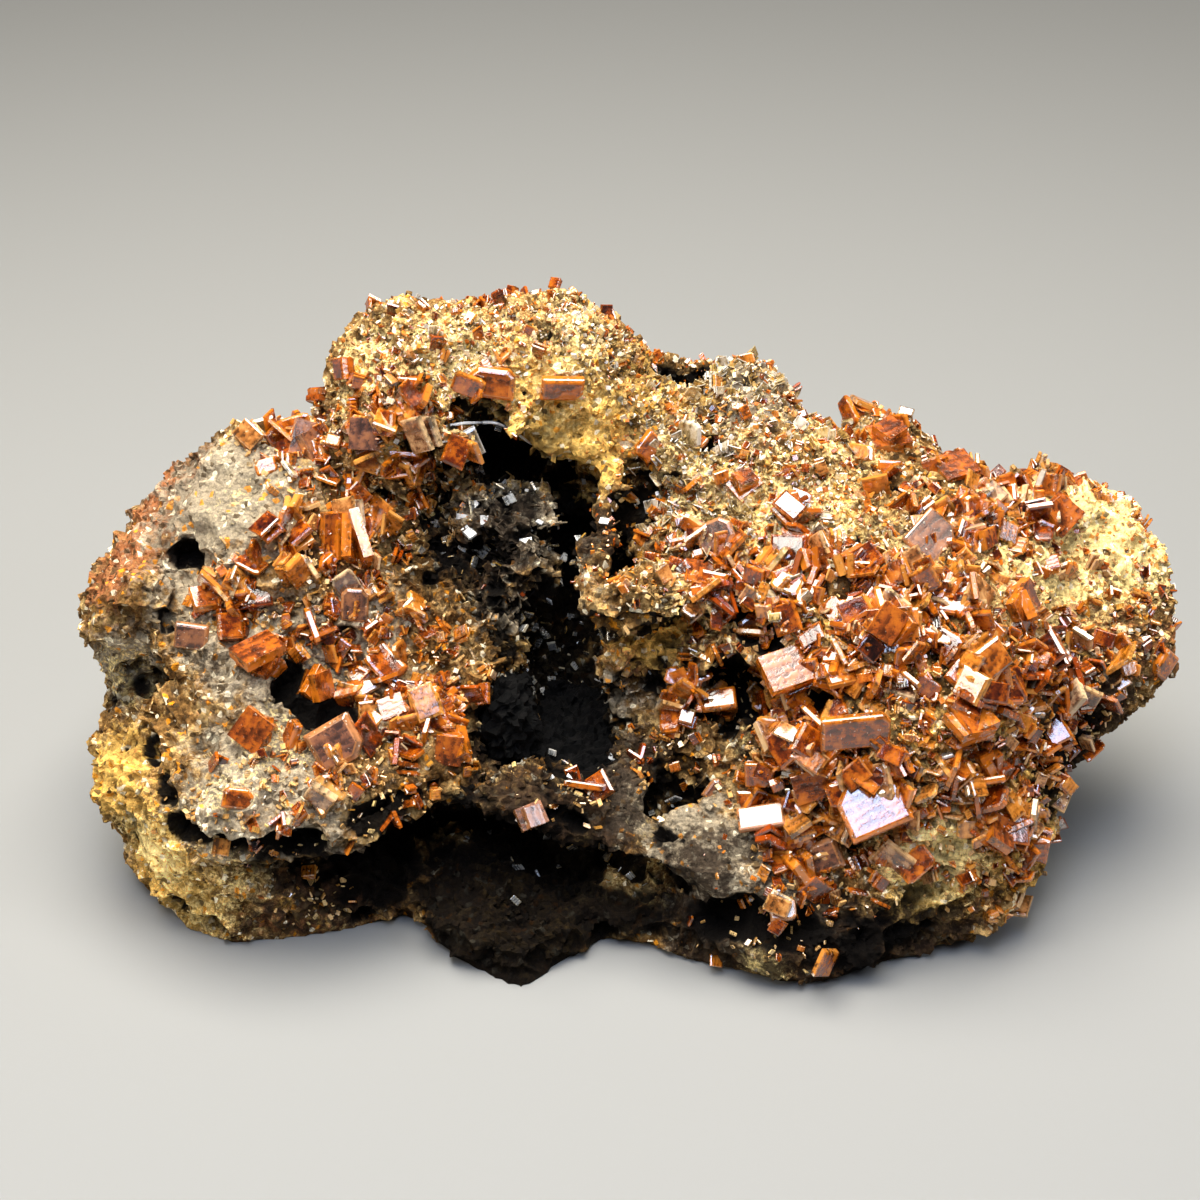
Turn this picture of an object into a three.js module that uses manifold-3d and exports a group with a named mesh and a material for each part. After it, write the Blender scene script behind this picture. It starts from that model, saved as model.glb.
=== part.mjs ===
// Wulfenite on matrix: a hand-sized piece of vuggy, iron-stained gossan overgrown with square tablets.
// Millimetres, +Z up, -Y is the front. The specimen rests on the flat under its feet.
import * as THREE from "three";
import { mergeVertices } from "three/addons/utils/BufferGeometryUtils.js";
import { ImprovedNoise } from "three/addons/math/ImprovedNoise.js";
import { MarchingCubes } from "three/addons/objects/MarchingCubes.js";
import Module from "manifold-3d";

const wasm = await Module();
wasm.setup();

// ---- driving dimensions ----
const WIDTH = 110;
const CELL = 4.1; // edge of one cell of the grid that the rock's surface is drawn on
const BEND = { wave: 17, height: 3.2 }; // how far the masses are pushed out of true
const CRAG = { wave: 7.5, height: 1.5 }; // lumps and pits on top of that
const BLEND = 5; // masses run into each other over this length
const CORNER = 2; // ledges and the edges of hollows are rounded over this length
const GAP = 0.3; // clearance all round a crystal where it stands in the rock
const BEVEL = 0.22; // share of a tablet's thickness taken by the bevel on each side
const SMALLEST_CUT = 0.14; // shares of a tablet's edge that its missing corners are cut by
const LARGEST_CUT = 0.34;

// Rock masses that make up the matrix: centre, half sizes and tilt in degrees about X, Y and Z.
const MASSES = [
  { name: "core", at: [-2, 8, 17], half: [38, 20, 18] },
  { name: "peak", at: [-13, 13, 37.5], half: [17, 12, 17.5] },
  { name: "peak shoulder", at: [-21, 12, 40.5], half: [7.5, 9, 11] },
  { name: "ridge", at: [9, 13, 34.6], half: [15.5, 11, 13] },
  { name: "left shoulder", at: [-36, 9, 27], half: [16.5, 12, 12.5] },
  { name: "left edge", at: [-46, 1, 27], half: [7.5, 10, 7] },
  { name: "left plate", at: [-32, -6, 20], half: [20, 20, 7], tilt: [38, 0, 0] },
  { name: "left flank", at: [-40, -2, 10], half: [13, 14, 11] },
  { name: "left knob", at: [-47, -7, 14], half: [5.5, 6, 5] },
  { name: "left base", at: [-37, -9, 3], half: [13.5, 13, 7.5] },
  { name: "left inner base", at: [-24, -5, 1], half: [13, 15, 5.5] },
  { name: "right slope", at: [22, -3, 22], half: [20, 20, 15], tilt: [35, 0, 0] },
  { name: "right upper", at: [33, 8, 26], half: [14, 12, 9.5] },
  { name: "right horn", at: [45, 8, 28.4], half: [9.8, 8, 7], tilt: [0, 14, 0] },
  { name: "right tip", at: [46, 0, 20], half: [8, 8, 7.5] },
  { name: "right edge", at: [34.5, -4, 13], half: [8, 11, 11] },
  { name: "right heel", at: [30, -13, 3], half: [8.5, 9, 6] },
  { name: "back horn", at: [26.5, 19, 32], half: [4.6, 5.5, 9] },
  { name: "right front", at: [28, -13, 12], half: [12, 11, 11] },
  { name: "middle foot", at: [-12, -17, 3], half: [7, 10, 6] },
  { name: "middle base", at: [2, -10, 1.5], half: [14, 13.5, 4.5] },
  { name: "right foot", at: [18, -16, 4], half: [12, 11, 8] },
  { name: "back left", at: [-15, 20, 20], half: [24, 12, 20] },
  { name: "back right", at: [18, 18, 18], half: [22, 13, 17] },
];

// Thin lips and shelves, which meet the masses at a tighter corner.
const LEDGES = [
  { name: "left lip", at: [-31, -19, 15.5], half: [15, 6, 2.8], tilt: [24, 0, 0] },
  { name: "rim of the vug", at: [-5, -18, 14], half: [10, 5, 2.6], tilt: [15, 0, 0] },
  { name: "right ledge", at: [12, -21, 9], half: [13, 5, 3], tilt: [20, 14, 0] },
  { name: "upper shelf in the vug", at: [-10, 4, 34], half: [6, 7, 2.6] },
  { name: "lower shelf in the vug", at: [-11, 0, 27], half: [6, 8, 2.2] },
  { name: "prong", at: [-0.5, -7, 23], half: [2.2, 4, 6] },
  { name: "bridge", at: [0.5, -9, 31.5], half: [7, 3, 2.4], tilt: [0, 20, 0] },
];

// Vugs and undercuts taken out of the masses. A tilt of -30 about X runs one down and back into the rock.
const HOLLOWS = [
  { name: "vug chamber", at: [-11, 0, 36], half: [8.5, 16, 7.5] },
  { name: "vug throat", at: [-5, -3, 24], half: [7.5, 18, 10] },
  { name: "vug floor", at: [-4, -14, 19], half: [7, 11, 4] },
  { name: "mouth under the rim", at: [-5, -22, 8], half: [11, 14, 4.5] },
  { name: "undercut of the left lip", at: [-22, -22, 8.5], half: [14, 13, 4.4] },
  { name: "bowl in the left plate", at: [-27, -12, 25], half: [7, 5, 6], tilt: [-30, 0, 0] },
  { name: "pocket in the left edge", at: [-47, -9, 24], half: [3, 6, 2.6], tilt: [-30, 0, 0] },
  { name: "upper pit", at: [-43, -3, 34], half: [2.4, 4, 2.2], tilt: [-30, 0, 0] },
  { name: "lower pit", at: [-40.5, -5, 31.8], half: [2, 4, 1.8], tilt: [-30, 0, 0] },
  { name: "hole over the chamber", at: [-14.5, 3, 46], half: [3, 7, 1.8], tilt: [-30, 0, 0] },
  { name: "side hole", at: [0, 3, 35], half: [2.5, 9, 4.4], tilt: [-30, 0, 0] },
  { name: "brown bowl", at: [3, -13, 28.5], half: [5, 8, 4.2], tilt: [-30, 0, 0] },
  { name: "right pocket", at: [10.5, -15, 24], half: [3.6, 8, 4.6], tilt: [-30, 0, 0] },
  { name: "far right pocket", at: [15.5, -15, 27.5], half: [2.6, 5, 3], tilt: [-30, 0, 0] },
  { name: "pocket over the right foot", at: [13.5, -25, 8], half: [6, 8, 3] },
  { name: "notch in the ridge", at: [4.5, 10, 47], half: [4.2, 6, 2.2], tilt: [-30, 0, 0] },
  { name: "gap beside the back horn", at: [21.2, 18, 42], half: [2.6, 14, 5], tilt: [-30, 0, 0] },
  { name: "gap beside the right horn", at: [38, 8, 38.5], half: [2.4, 12, 3.6], tilt: [-30, 0, 0] },
];

// Crystals big enough to be made one by one. `at` is across and up the front, seen square on from 30 degrees
// above. `face` turns a tablet's flat side right and up from straight ahead, `roll` spins it in its own
// plane, and `out` is how far its middle stands off the rock. Lengths in millimetres, angles in degrees.
const TABLETS = [
  // name, at, [width, height], thickness, face, roll, out, colour
  ["plate_largest", [22.8, -18.9], [6.1, 5.2], 1.5, [-8, 46], 28, 1.9, 0xc8701e],
  ["plate_barred", [21, -11.9], [6.5, 3.6], 1.1, [6, -4], 3, 1.7, 0xa4500e],
  ["plate_shoulder", [28.7, 5.7], [4.6, 3.8], 0.9, [12, 48], 40, 0.9, 0xa07a5c],
  ["plate_frosted", [12.7, -20.9], [4.5, 2.5], 0.8, [-24, 60], 25, 1.2, 0xb08468],
  ["block_foot", [18.7, -24.2], [3.2, 3.1], 1.7, [-14, 22], 28, 0.9, 0xa8501a],
  ["square_rust", [12.6, -16.6], [2.6, 2.5], 0.9, [-18, 14], 8, 1, 0xa84c14],
  ["square_dark", [8.9, -18.2], [2.3, 2.2], 1, [6, 28], 50, 1, 0x6e3618],
  ["bar_right", [33.2, -16.9], [3.4, 2.3], 0.8, [14, -52], 22, 1.1, 0xc08a40],
  ["tablet_ledge", [14.3, -29.2], [2.5, 2], 0.8, [-6, 52], 8, 0.9, 0x925e40],
  ["plate_throat", [8.4, -9.4], [3.4, 2.3], 0.9, [-14, 58], 16, 1.5, 0x9c4c14],
  ["plate_ridge_mauve", [8.7, 6], [3.8, 3.2], 1.2, [-24, 30], 34, 1, 0x9a6a50],
  ["plate_ridge_orange", [2.2, 15.2], [2.8, 2.2], 0.9, [30, 10], 40, 1, 0xd86a14],
  ["tablet_tip", [53.1, -6.2], [2.8, 2.4], 1.1, [34, 6], 45, 0.9, 0x96441a],
  ["plate_in_bowl", [-27.5, -14], [4.7, 4.3], 2.1, [-4, 32], 32, 1.3, 0x96543a],
  ["blade_in_bowl", [-31.8, -13], [3.4, 1.8], 0.9, [-56, 20], 80, 1, 0xa85018],
  ["square_mauve", [-26.6, -0.6], [2.7, 3.3], 0.9, [2, 16], -4, 1, 0xa87c68],
  ["glint_shoulder", [-35.6, 12.8], [2.2, 1.7], 0.8, [14, 44], 10, 0.8, 0xb8783a],
  ["plate_left_brown", [-41.9, -3.6], [3.3, 2.6], 1, [-4, 16], -6, 0.9, 0x92501e],
  ["plate_leaning", [-23.4, -5.9], [3.8, 2.8], 1, [-20, 36], -34, 1.2, 0xb8600c],
  ["plate_lip_left", [-36.2, -18.6], [2.9, 2], 1, [16, 22], -16, 0.8, 0xa04c10],
  ["block_peak", [-13.2, 21], [4.6, 3], 1.6, [-8, 12], -4, 1, 0xb86c14],
  ["block_peak_barred", [-6.4, 20.6], [4.2, 2.4], 1.3, [10, -8], -6, 1, 0xb87218],
].map(([name, at, edge, thick, face, roll, out, color]) => {
  return { name, at, edge, thick, face, roll, out, color };
});

// Crystals grown through one another. `fan` is the angle between neighbours about the upright, `step` the
// distance between them square to their flat sides, and `heap` the random lean on top.
const CLUSTERS = [
  // name, at, count, edge, thickness, face, fan, step, heap, colour
  ["fan_left_plate", [-27.7, 5.9], 5, 5, 1, [58, 12], 26, 0.9, 8, 0xc06408],
  ["cluster_left_orange", [-35.2, -6], 4, 4.4, 1.1, [-14, 70], 12, 0.9, 14, 0xd4680a],
  ["blades_over_bowl", [-30.2, -8.4], 3, 3.6, 0.9, [48, 20], 16, 0.8, 10, 0x96583a],
  ["wing_left", [-40.6, 0], 2, 3.8, 0.9, [10, 70], 44, 0.7, 6, 0xcc5c0c],
  ["pair_left_plate", [-35, -12.3], 2, 3.8, 0.9, [-34, 24], 40, 1, 8, 0xa45620],
  ["pair_bowl_rim", [-22.3, -10.8], 2, 3.6, 0.9, [-30, 50], 34, 0.2, 8, 0x9e5832],
  ["cluster_vug_edge", [-17, -14.2], 3, 4, 1.1, [-14, 24], 24, 0.8, 20, 0xb8621c],
  ["plates_shoulder_left", [-31.6, 15.2], 3, 4, 0.8, [30, 24], 28, 0.8, 14, 0xa87a50],
  ["plates_neck", [-25.1, 16.1], 3, 4.4, 0.8, [-30, 30], 28, 0.8, 14, 0xa87a5c],
  ["cluster_vug_rim", [-9.3, -20.2], 3, 2.8, 0.8, [20, 30], 34, 0.8, 20, 0x96643e],
  ["plates_over_brown_bowl", [6.8, 2.2], 2, 4.4, 0.9, [4, 68], 14, 0.7, 10, 0xa85618],
  ["cluster_ridge_face", [11.4, 11.2], 3, 3.2, 0.9, [0, 62], 24, 0.8, 18, 0xc06a20],
  ["stack_back_horn", [26.8, 16.2], 4, 3.8, 1, [0, 78], 6, 0.9, 7, 0xc4661a],
  ["cluster_behind_shoulder", [32.6, 12.6], 3, 3.8, 0.9, [10, 66], 22, 0.8, 14, 0xc06418],
  ["cluster_horn", [42.8, 8.2], 3, 3.4, 0.9, [24, 56], 26, 0.8, 20, 0xc8742c],
  ["cluster_under_horn", [37, -0.6], 4, 4.2, 1, [46, 20], 24, 0.9, 14, 0xc86e2a],
  ["cluster_slope", [24.4, -2.6], 4, 4.2, 1, [-34, 34], 26, 0.9, 16, 0xc46c20],
  ["cluster_pocket", [15.4, -6.6], 3, 5, 1.3, [-16, 56], 16, 1.1, 12, 0xa45416],
  ["cluster_right_face", [31.2, -11.4], 4, 4.2, 1, [16, 62], 18, 0.9, 14, 0xb85c16],
  ["cluster_beside_largest", [17.6, -17], 3, 4, 1.1, [-20, 20], 28, 0.9, 20, 0xc46c18],
  ["cluster_right_edge", [34.4, -21.8], 3, 3.8, 1, [36, 34], 30, 0.8, 18, 0xb45c18],
].map(([name, at, count, edge, thick, face, fan, step, heap, color]) => {
  return { name, at, count, edge, thick, face, fan, step, heap, color };
});

// The druse that lines the floor of the vug: the lumps it grew as, and how many crystals stand out of them.
const CRUST = {
  lumps: [
    { at: [-5.5, -7, 14.2], half: [6, 11, 2.4] },
    { at: [-11.5, -9.5, 18.5], half: [2.6, 5, 5] },
  ],
  tablets: 9,
  edge: [1.2, 2.2],
};

const noise = new ImprovedNoise();
const TO_RADIANS = Math.PI / 180;

// Signed distance, roughly, to an ellipsoid: negative inside.
function place({ at, half, tilt = [0, 0, 0] }) {
  const spin = new THREE.Euler(...tilt.map((degrees) => degrees * TO_RADIANS));
  const inverse = new THREE.Matrix4().makeRotationFromEuler(spin).setPosition(...at).invert();
  const size = new THREE.Vector3(...half);
  const local = new THREE.Vector3();
  return (point) => {
    local.copy(point).applyMatrix4(inverse).divide(size);
    const reach = local.length();
    return (reach * (reach - 1)) / Math.max(local.divide(size).length(), 1e-6);
  };
}

// The smaller of two distances, rounded where they cross.
function blend(a, b, radius) {
  const overlap = Math.max(radius - Math.abs(a - b), 0) / radius;
  return Math.min(a, b) - (overlap ** 2 * radius) / 4;
}

const masses = MASSES.map(place);
const ledges = LEDGES.map(place);
const hollows = HOLLOWS.map(place);

function wobble(p, { wave, height }, seed) {
  return height * noise.noise(p.x / wave + seed, p.y / wave + seed, p.z / wave);
}

const bent = new THREE.Vector3();
function rockDistance(p) {
  bent.set(p.x + wobble(p, BEND, 3.1), p.y + wobble(p, BEND, 17.7), p.z + wobble(p, BEND, 41.3));
  let d = 1e3;
  for (const mass of masses) d = blend(d, mass(bent), BLEND);
  d += wobble(p, CRAG, 7.3);
  for (const hollow of hollows) d = -blend(-d, hollow(bent) + 0.6 * wobble(p, CRAG, 23.9), CORNER);
  for (const ledge of ledges) d = blend(d, ledge(bent) + 0.6 * wobble(p, CRAG, 11.9), CORNER);
  return d;
}

// Draws the surface where the distance is zero.
function surfaceOf(distance) {
  const half = WIDTH / 2 + 4 * CELL;
  const resolution = Math.ceil((2 * half) / CELL);
  const cells = new MarchingCubes(resolution, new THREE.MeshBasicMaterial(), false, false, 30000);
  const middle = new THREE.Vector3(0, 0, 26);
  const point = new THREE.Vector3();
  cells.isolation = 0;
  for (let z = 0; z < resolution; z++)
    for (let y = 0; y < resolution; y++)
      for (let x = 0; x < resolution; x++) {
        point.set(x, y, z).divideScalar(resolution / 2).addScalar(-1);
        point.multiplyScalar(half).add(middle);
        cells.setCell(x, y, z, -distance(point));
      }
  cells.update();
  const { geometry: strip } = cells;
  const drawn = strip.getAttribute("position").array.slice(0, 3 * strip.drawRange.count);
  const geometry = new THREE.BufferGeometry();
  geometry.setAttribute("position", new THREE.BufferAttribute(drawn, 3));
  geometry.scale(half, half, half).translate(middle.x, middle.y, middle.z);
  return mergeVertices(geometry, 1e-3);
}

function solid(geometry) {
  return new wasm.Manifold(
    new wasm.Mesh({
      numProp: 3,
      vertProperties: Float32Array.from(geometry.getAttribute("position").array),
      triVerts: Uint32Array.from(geometry.index.array),
    }),
  );
}

function toGeometry(manifold) {
  const mesh = manifold.getMesh();
  const geometry = new THREE.BufferGeometry();
  geometry.setAttribute("position", new THREE.BufferAttribute(mesh.vertProperties, 3));
  geometry.setIndex(new THREE.BufferAttribute(mesh.triVerts, 1));
  geometry.computeVertexNormals();
  return geometry;
}

const UP_FRONT = new THREE.Vector3(0, 0.5, Math.sqrt(0.75));
const INTO_FRONT = new THREE.Vector3(0, Math.sqrt(0.75), -0.5);
const EYE_LEVEL = new THREE.Vector3(0, 0, 27);

// The point of the rock in front of [across, up], and the way out of the rock there.
function spotOn(rockMesh, [across, up]) {
  const start = EYE_LEVEL.clone().addScaledVector(UP_FRONT, up).addScaledVector(INTO_FRONT, -2 * WIDTH);
  start.x += across;
  const [hit] = new THREE.Raycaster(start, INTO_FRONT).intersectObject(rockMesh);
  const outward = hit.face.normal.clone().addScaledVector(INTO_FRONT, -1).normalize();
  return { point: hit.point, outward };
}

function facing([turn, lift], roll) {
  const spin = new THREE.Euler(Math.PI / 2 - lift * TO_RADIANS, 0, turn * TO_RADIANS, "ZXY");
  return new THREE.Quaternion()
    .setFromEuler(spin)
    .multiply(new THREE.Quaternion().setFromAxisAngle(new THREE.Vector3(0, 0, 1), roll * TO_RADIANS));
}

// The corners of a tablet that growth left out: how far each is cut, some not at all.
function cutsFor(edge, seed) {
  const random = dice(seed);
  const size = Math.min(...edge);
  return [0, 1, 2, 3].map(() => {
    const cut = random();
    return cut > 0.2 ? size * (SMALLEST_CUT + (LARGEST_CUT - SMALLEST_CUT) * cut) : 0;
  });
}

// A rectangle, counter-clockwise, with its corners cut.
function outlineOf([width, height], cuts) {
  const w = width / 2;
  const h = height / 2;
  const corners = [new THREE.Vector2(-w, -h), new THREE.Vector2(w, -h), new THREE.Vector2(w, h)];
  corners.push(new THREE.Vector2(-w, h));
  const points = corners.flatMap((corner, i) => {
    if (!cuts[i]) return [corner];
    const alongWidth = new THREE.Vector2(corner.x - Math.sign(corner.x) * cuts[i], corner.y);
    const alongHeight = new THREE.Vector2(corner.x, corner.y - Math.sign(corner.y) * cuts[i]);
    return i % 2 ? [alongWidth, alongHeight] : [alongHeight, alongWidth];
  });
  return new THREE.Shape(points);
}

// A tablet, bevelled on both sides all round, or plain.
function tablet(edge, thick, bevel, cuts = [0, 0, 0, 0]) {
  const depth = thick - 2 * bevel;
  const geometry = new THREE.ExtrudeGeometry(outlineOf(edge, cuts), {
    depth,
    bevelEnabled: bevel > 0,
    bevelThickness: bevel,
    bevelSize: bevel,
    bevelOffset: -bevel,
    bevelSegments: 1,
  });
  return closed(geometry.translate(0, 0, -depth / 2));
}

// The hole that a tablet stands in.
function socketFor([width, height], thick, cuts) {
  return tablet([width + 2 * GAP, height + 2 * GAP], thick + 2 * GAP, 0, cuts);
}

// Drops what stops neighbouring faces from sharing their corners.
function closed(geometry) {
  geometry.deleteAttribute("normal");
  geometry.deleteAttribute("uv");
  return mergeVertices(geometry, 1e-4);
}

function put(geometry, position, quaternion) {
  const pose = new THREE.Matrix4().compose(position, quaternion, new THREE.Vector3(1, 1, 1));
  return solid(geometry.applyMatrix4(pose));
}

function largest(manifold) {
  return manifold.decompose().sort((a, b) => b.volume() - a.volume())[0];
}

function fuse(solids) {
  return largest(solids.reduce((whole, next) => whole.add(next)));
}

// Numbers between -1 and 1, the same every run.
function dice(seed) {
  let state = seed;
  return () => {
    state = (Math.imul(state, 1664525) + 1013904223) >>> 0;
    return (state / 2 ** 32) * 2 - 1;
  };
}

function makeTablet(spot, { edge, thick, face, roll, out }, seed) {
  const position = spot.point.clone().addScaledVector(spot.outward, out);
  const quaternion = facing(face, roll);
  const cuts = cutsFor(edge, seed);
  return {
    body: put(tablet(edge, thick, BEVEL * thick, cuts), position, quaternion),
    socket: put(socketFor(edge, thick, cuts), position, quaternion),
  };
}

function makeCluster(spot, { count, edge, thick, face, fan, step, heap }, seed) {
  const random = dice(seed);
  const middle = spot.point.clone().addScaledVector(spot.outward, 0.2 * edge);
  const along = new THREE.Vector3(0, 0, 1).applyQuaternion(facing(face, 0));
  const bodies = [];
  const sockets = [];
  for (let i = 0; i < count; i++) {
    const rank = i - (count - 1) / 2;
    const width = edge * (0.86 + 0.2 * random());
    const size = [width, width * (0.84 + 0.14 * random())];
    const turned = [face[0] + fan * rank + heap * random(), face[1] + heap * random()];
    const position = middle
      .clone()
      .addScaledVector(along, step * rank)
      .addScaledVector(spot.outward, 0.14 * edge * random());
    const quaternion = facing(turned, 45 + 40 * random());
    bodies.push(put(tablet(size, thick, 0), position, quaternion));
    sockets.push(put(socketFor(size, thick), position, quaternion));
  }
  return { body: fuse(bodies), socket: fuse(sockets) };
}

function lump({ at, half }, grow = 0) {
  const geometry = closed(new THREE.IcosahedronGeometry(1, 1));
  geometry.scale(half[0] + grow, half[1] + grow, half[2] + grow).translate(...at);
  return solid(geometry);
}

function makeCrust({ lumps, tablets, edge }) {
  const random = dice(11);
  const bodies = lumps.map((one) => lump(one));
  const sockets = lumps.map((one) => lump(one, GAP));
  for (let i = 0; i < tablets; i++) {
    const { at, half } = lumps[i % lumps.length];
    const offset = new THREE.Vector3(random(), random(), 0.75 + 0.2 * random());
    const position = offset.normalize().multiply(new THREE.Vector3(...half)).add(new THREE.Vector3(...at));
    const size = edge[0] + ((edge[1] - edge[0]) * (1 + random())) / 2;
    const quaternion = facing([180 * random(), 45 + 45 * random()], 90 * random());
    bodies.push(put(tablet([size, size], 0.5, 0), position, quaternion));
    sockets.push(put(socketFor([size, size], 0.5), position, quaternion));
  }
  return { body: fuse(bodies), socket: fuse(sockets) };
}

function makeRock() {
  const rock = solid(surfaceOf(rockDistance));
  const below = closed(new THREE.BoxGeometry(2 * WIDTH, 2 * WIDTH, WIDTH)).translate(0, 0, -WIDTH / 2);
  return largest(rock.subtract(solid(below)));
}

function addPiece(name, manifold, color, roughness) {
  const material = new THREE.MeshStandardMaterial({ color, roughness, metalness: 0 });
  const mesh = new THREE.Mesh(toGeometry(manifold), material);
  mesh.name = name;
  specimen.add(mesh);
}

const specimen = new THREE.Group();
specimen.name = "wulfenite_on_matrix";

let rock = makeRock();
const bare = new THREE.Mesh(toGeometry(rock));
const grown = [
  { name: "vug_crust", color: 0x8a8378, ...makeCrust(CRUST) },
  ...TABLETS.map((one, i) => ({ ...one, ...makeTablet(spotOn(bare, one.at), one, 7 * i + 3) })),
  ...CLUSTERS.map((one, i) => ({ ...one, ...makeCluster(spotOn(bare, one.at), one, 101 + i) })),
];
for (const { socket } of grown) rock = rock.subtract(socket);

addPiece("matrix", largest(rock), 0x6f5f4b, 0.95);
for (const { name, body, color } of grown) addPiece(name, body, color, 0.25);

const box = new THREE.Box3().setFromObject(specimen);
const middle = box.getCenter(new THREE.Vector3());
for (const mesh of specimen.children) mesh.geometry.translate(-middle.x, -middle.y, -box.min.z);

export default specimen;
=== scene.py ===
import itertools
import math

import bpy
import numpy as np
from mathutils import Euler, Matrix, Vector, noise
from mathutils.bvhtree import BVHTree


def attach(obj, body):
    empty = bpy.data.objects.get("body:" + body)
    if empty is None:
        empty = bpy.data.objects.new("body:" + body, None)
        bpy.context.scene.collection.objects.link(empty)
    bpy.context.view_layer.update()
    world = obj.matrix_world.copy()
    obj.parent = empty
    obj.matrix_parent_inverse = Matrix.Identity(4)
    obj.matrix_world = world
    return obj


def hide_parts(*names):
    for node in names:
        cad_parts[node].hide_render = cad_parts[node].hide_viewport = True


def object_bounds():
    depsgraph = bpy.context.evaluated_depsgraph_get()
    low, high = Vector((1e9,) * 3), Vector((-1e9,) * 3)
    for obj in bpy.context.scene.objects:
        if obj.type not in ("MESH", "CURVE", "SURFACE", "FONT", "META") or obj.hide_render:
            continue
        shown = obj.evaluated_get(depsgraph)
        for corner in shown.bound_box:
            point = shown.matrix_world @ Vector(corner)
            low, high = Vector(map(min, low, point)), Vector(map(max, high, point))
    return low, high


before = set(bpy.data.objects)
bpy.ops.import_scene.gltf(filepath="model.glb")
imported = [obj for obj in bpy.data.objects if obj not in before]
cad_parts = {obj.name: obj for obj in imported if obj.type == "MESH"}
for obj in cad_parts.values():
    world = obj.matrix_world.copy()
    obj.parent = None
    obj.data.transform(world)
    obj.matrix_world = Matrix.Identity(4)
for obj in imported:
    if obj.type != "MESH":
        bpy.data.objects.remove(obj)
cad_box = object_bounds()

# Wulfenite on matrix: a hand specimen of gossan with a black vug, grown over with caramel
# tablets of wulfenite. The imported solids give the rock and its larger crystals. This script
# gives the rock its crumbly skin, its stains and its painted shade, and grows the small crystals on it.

MM = 0.001

# ---------------------------------------------------------------- driving sizes in millimetres, and counts

SKIN_VOXEL = 0.42       # the rock's skin before it is thinned
SKIN_TRIANGLES = 196000  # and after
LINING_VOXEL = 0.42     # the crust in the vug
MERGED = 0.001          # corners nearer than this are one corner
MORTAR = 0.45           # radius of the crumbs packed round the foot of each crystal
MORTAR_STEP = 0.3       # and how far apart they are
SOCKET_REACH = 0.55     # how far from the rock a crystal's foot still counts as set in it
PILLAR_STEP = 0.35      # how far apart the balls that make a pillar are
CRYSTAL_BEVEL = 0.09    # how far each crystal's edges are broken
RAYS = 22               # ways looked from a point to see how closed in it is
RAY_START = 0.7         # how far above the stone they start
RAY_REACH = 25          # and how far they look
THREAD_RADIUS = 0.14    # the fibre slung across the vug's arch
THREAD_SIDES = 6
THREAD_RINGS = 61
BEDDED = 0.15           # how far out of the stone the middle of a bright tablet lies

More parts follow.
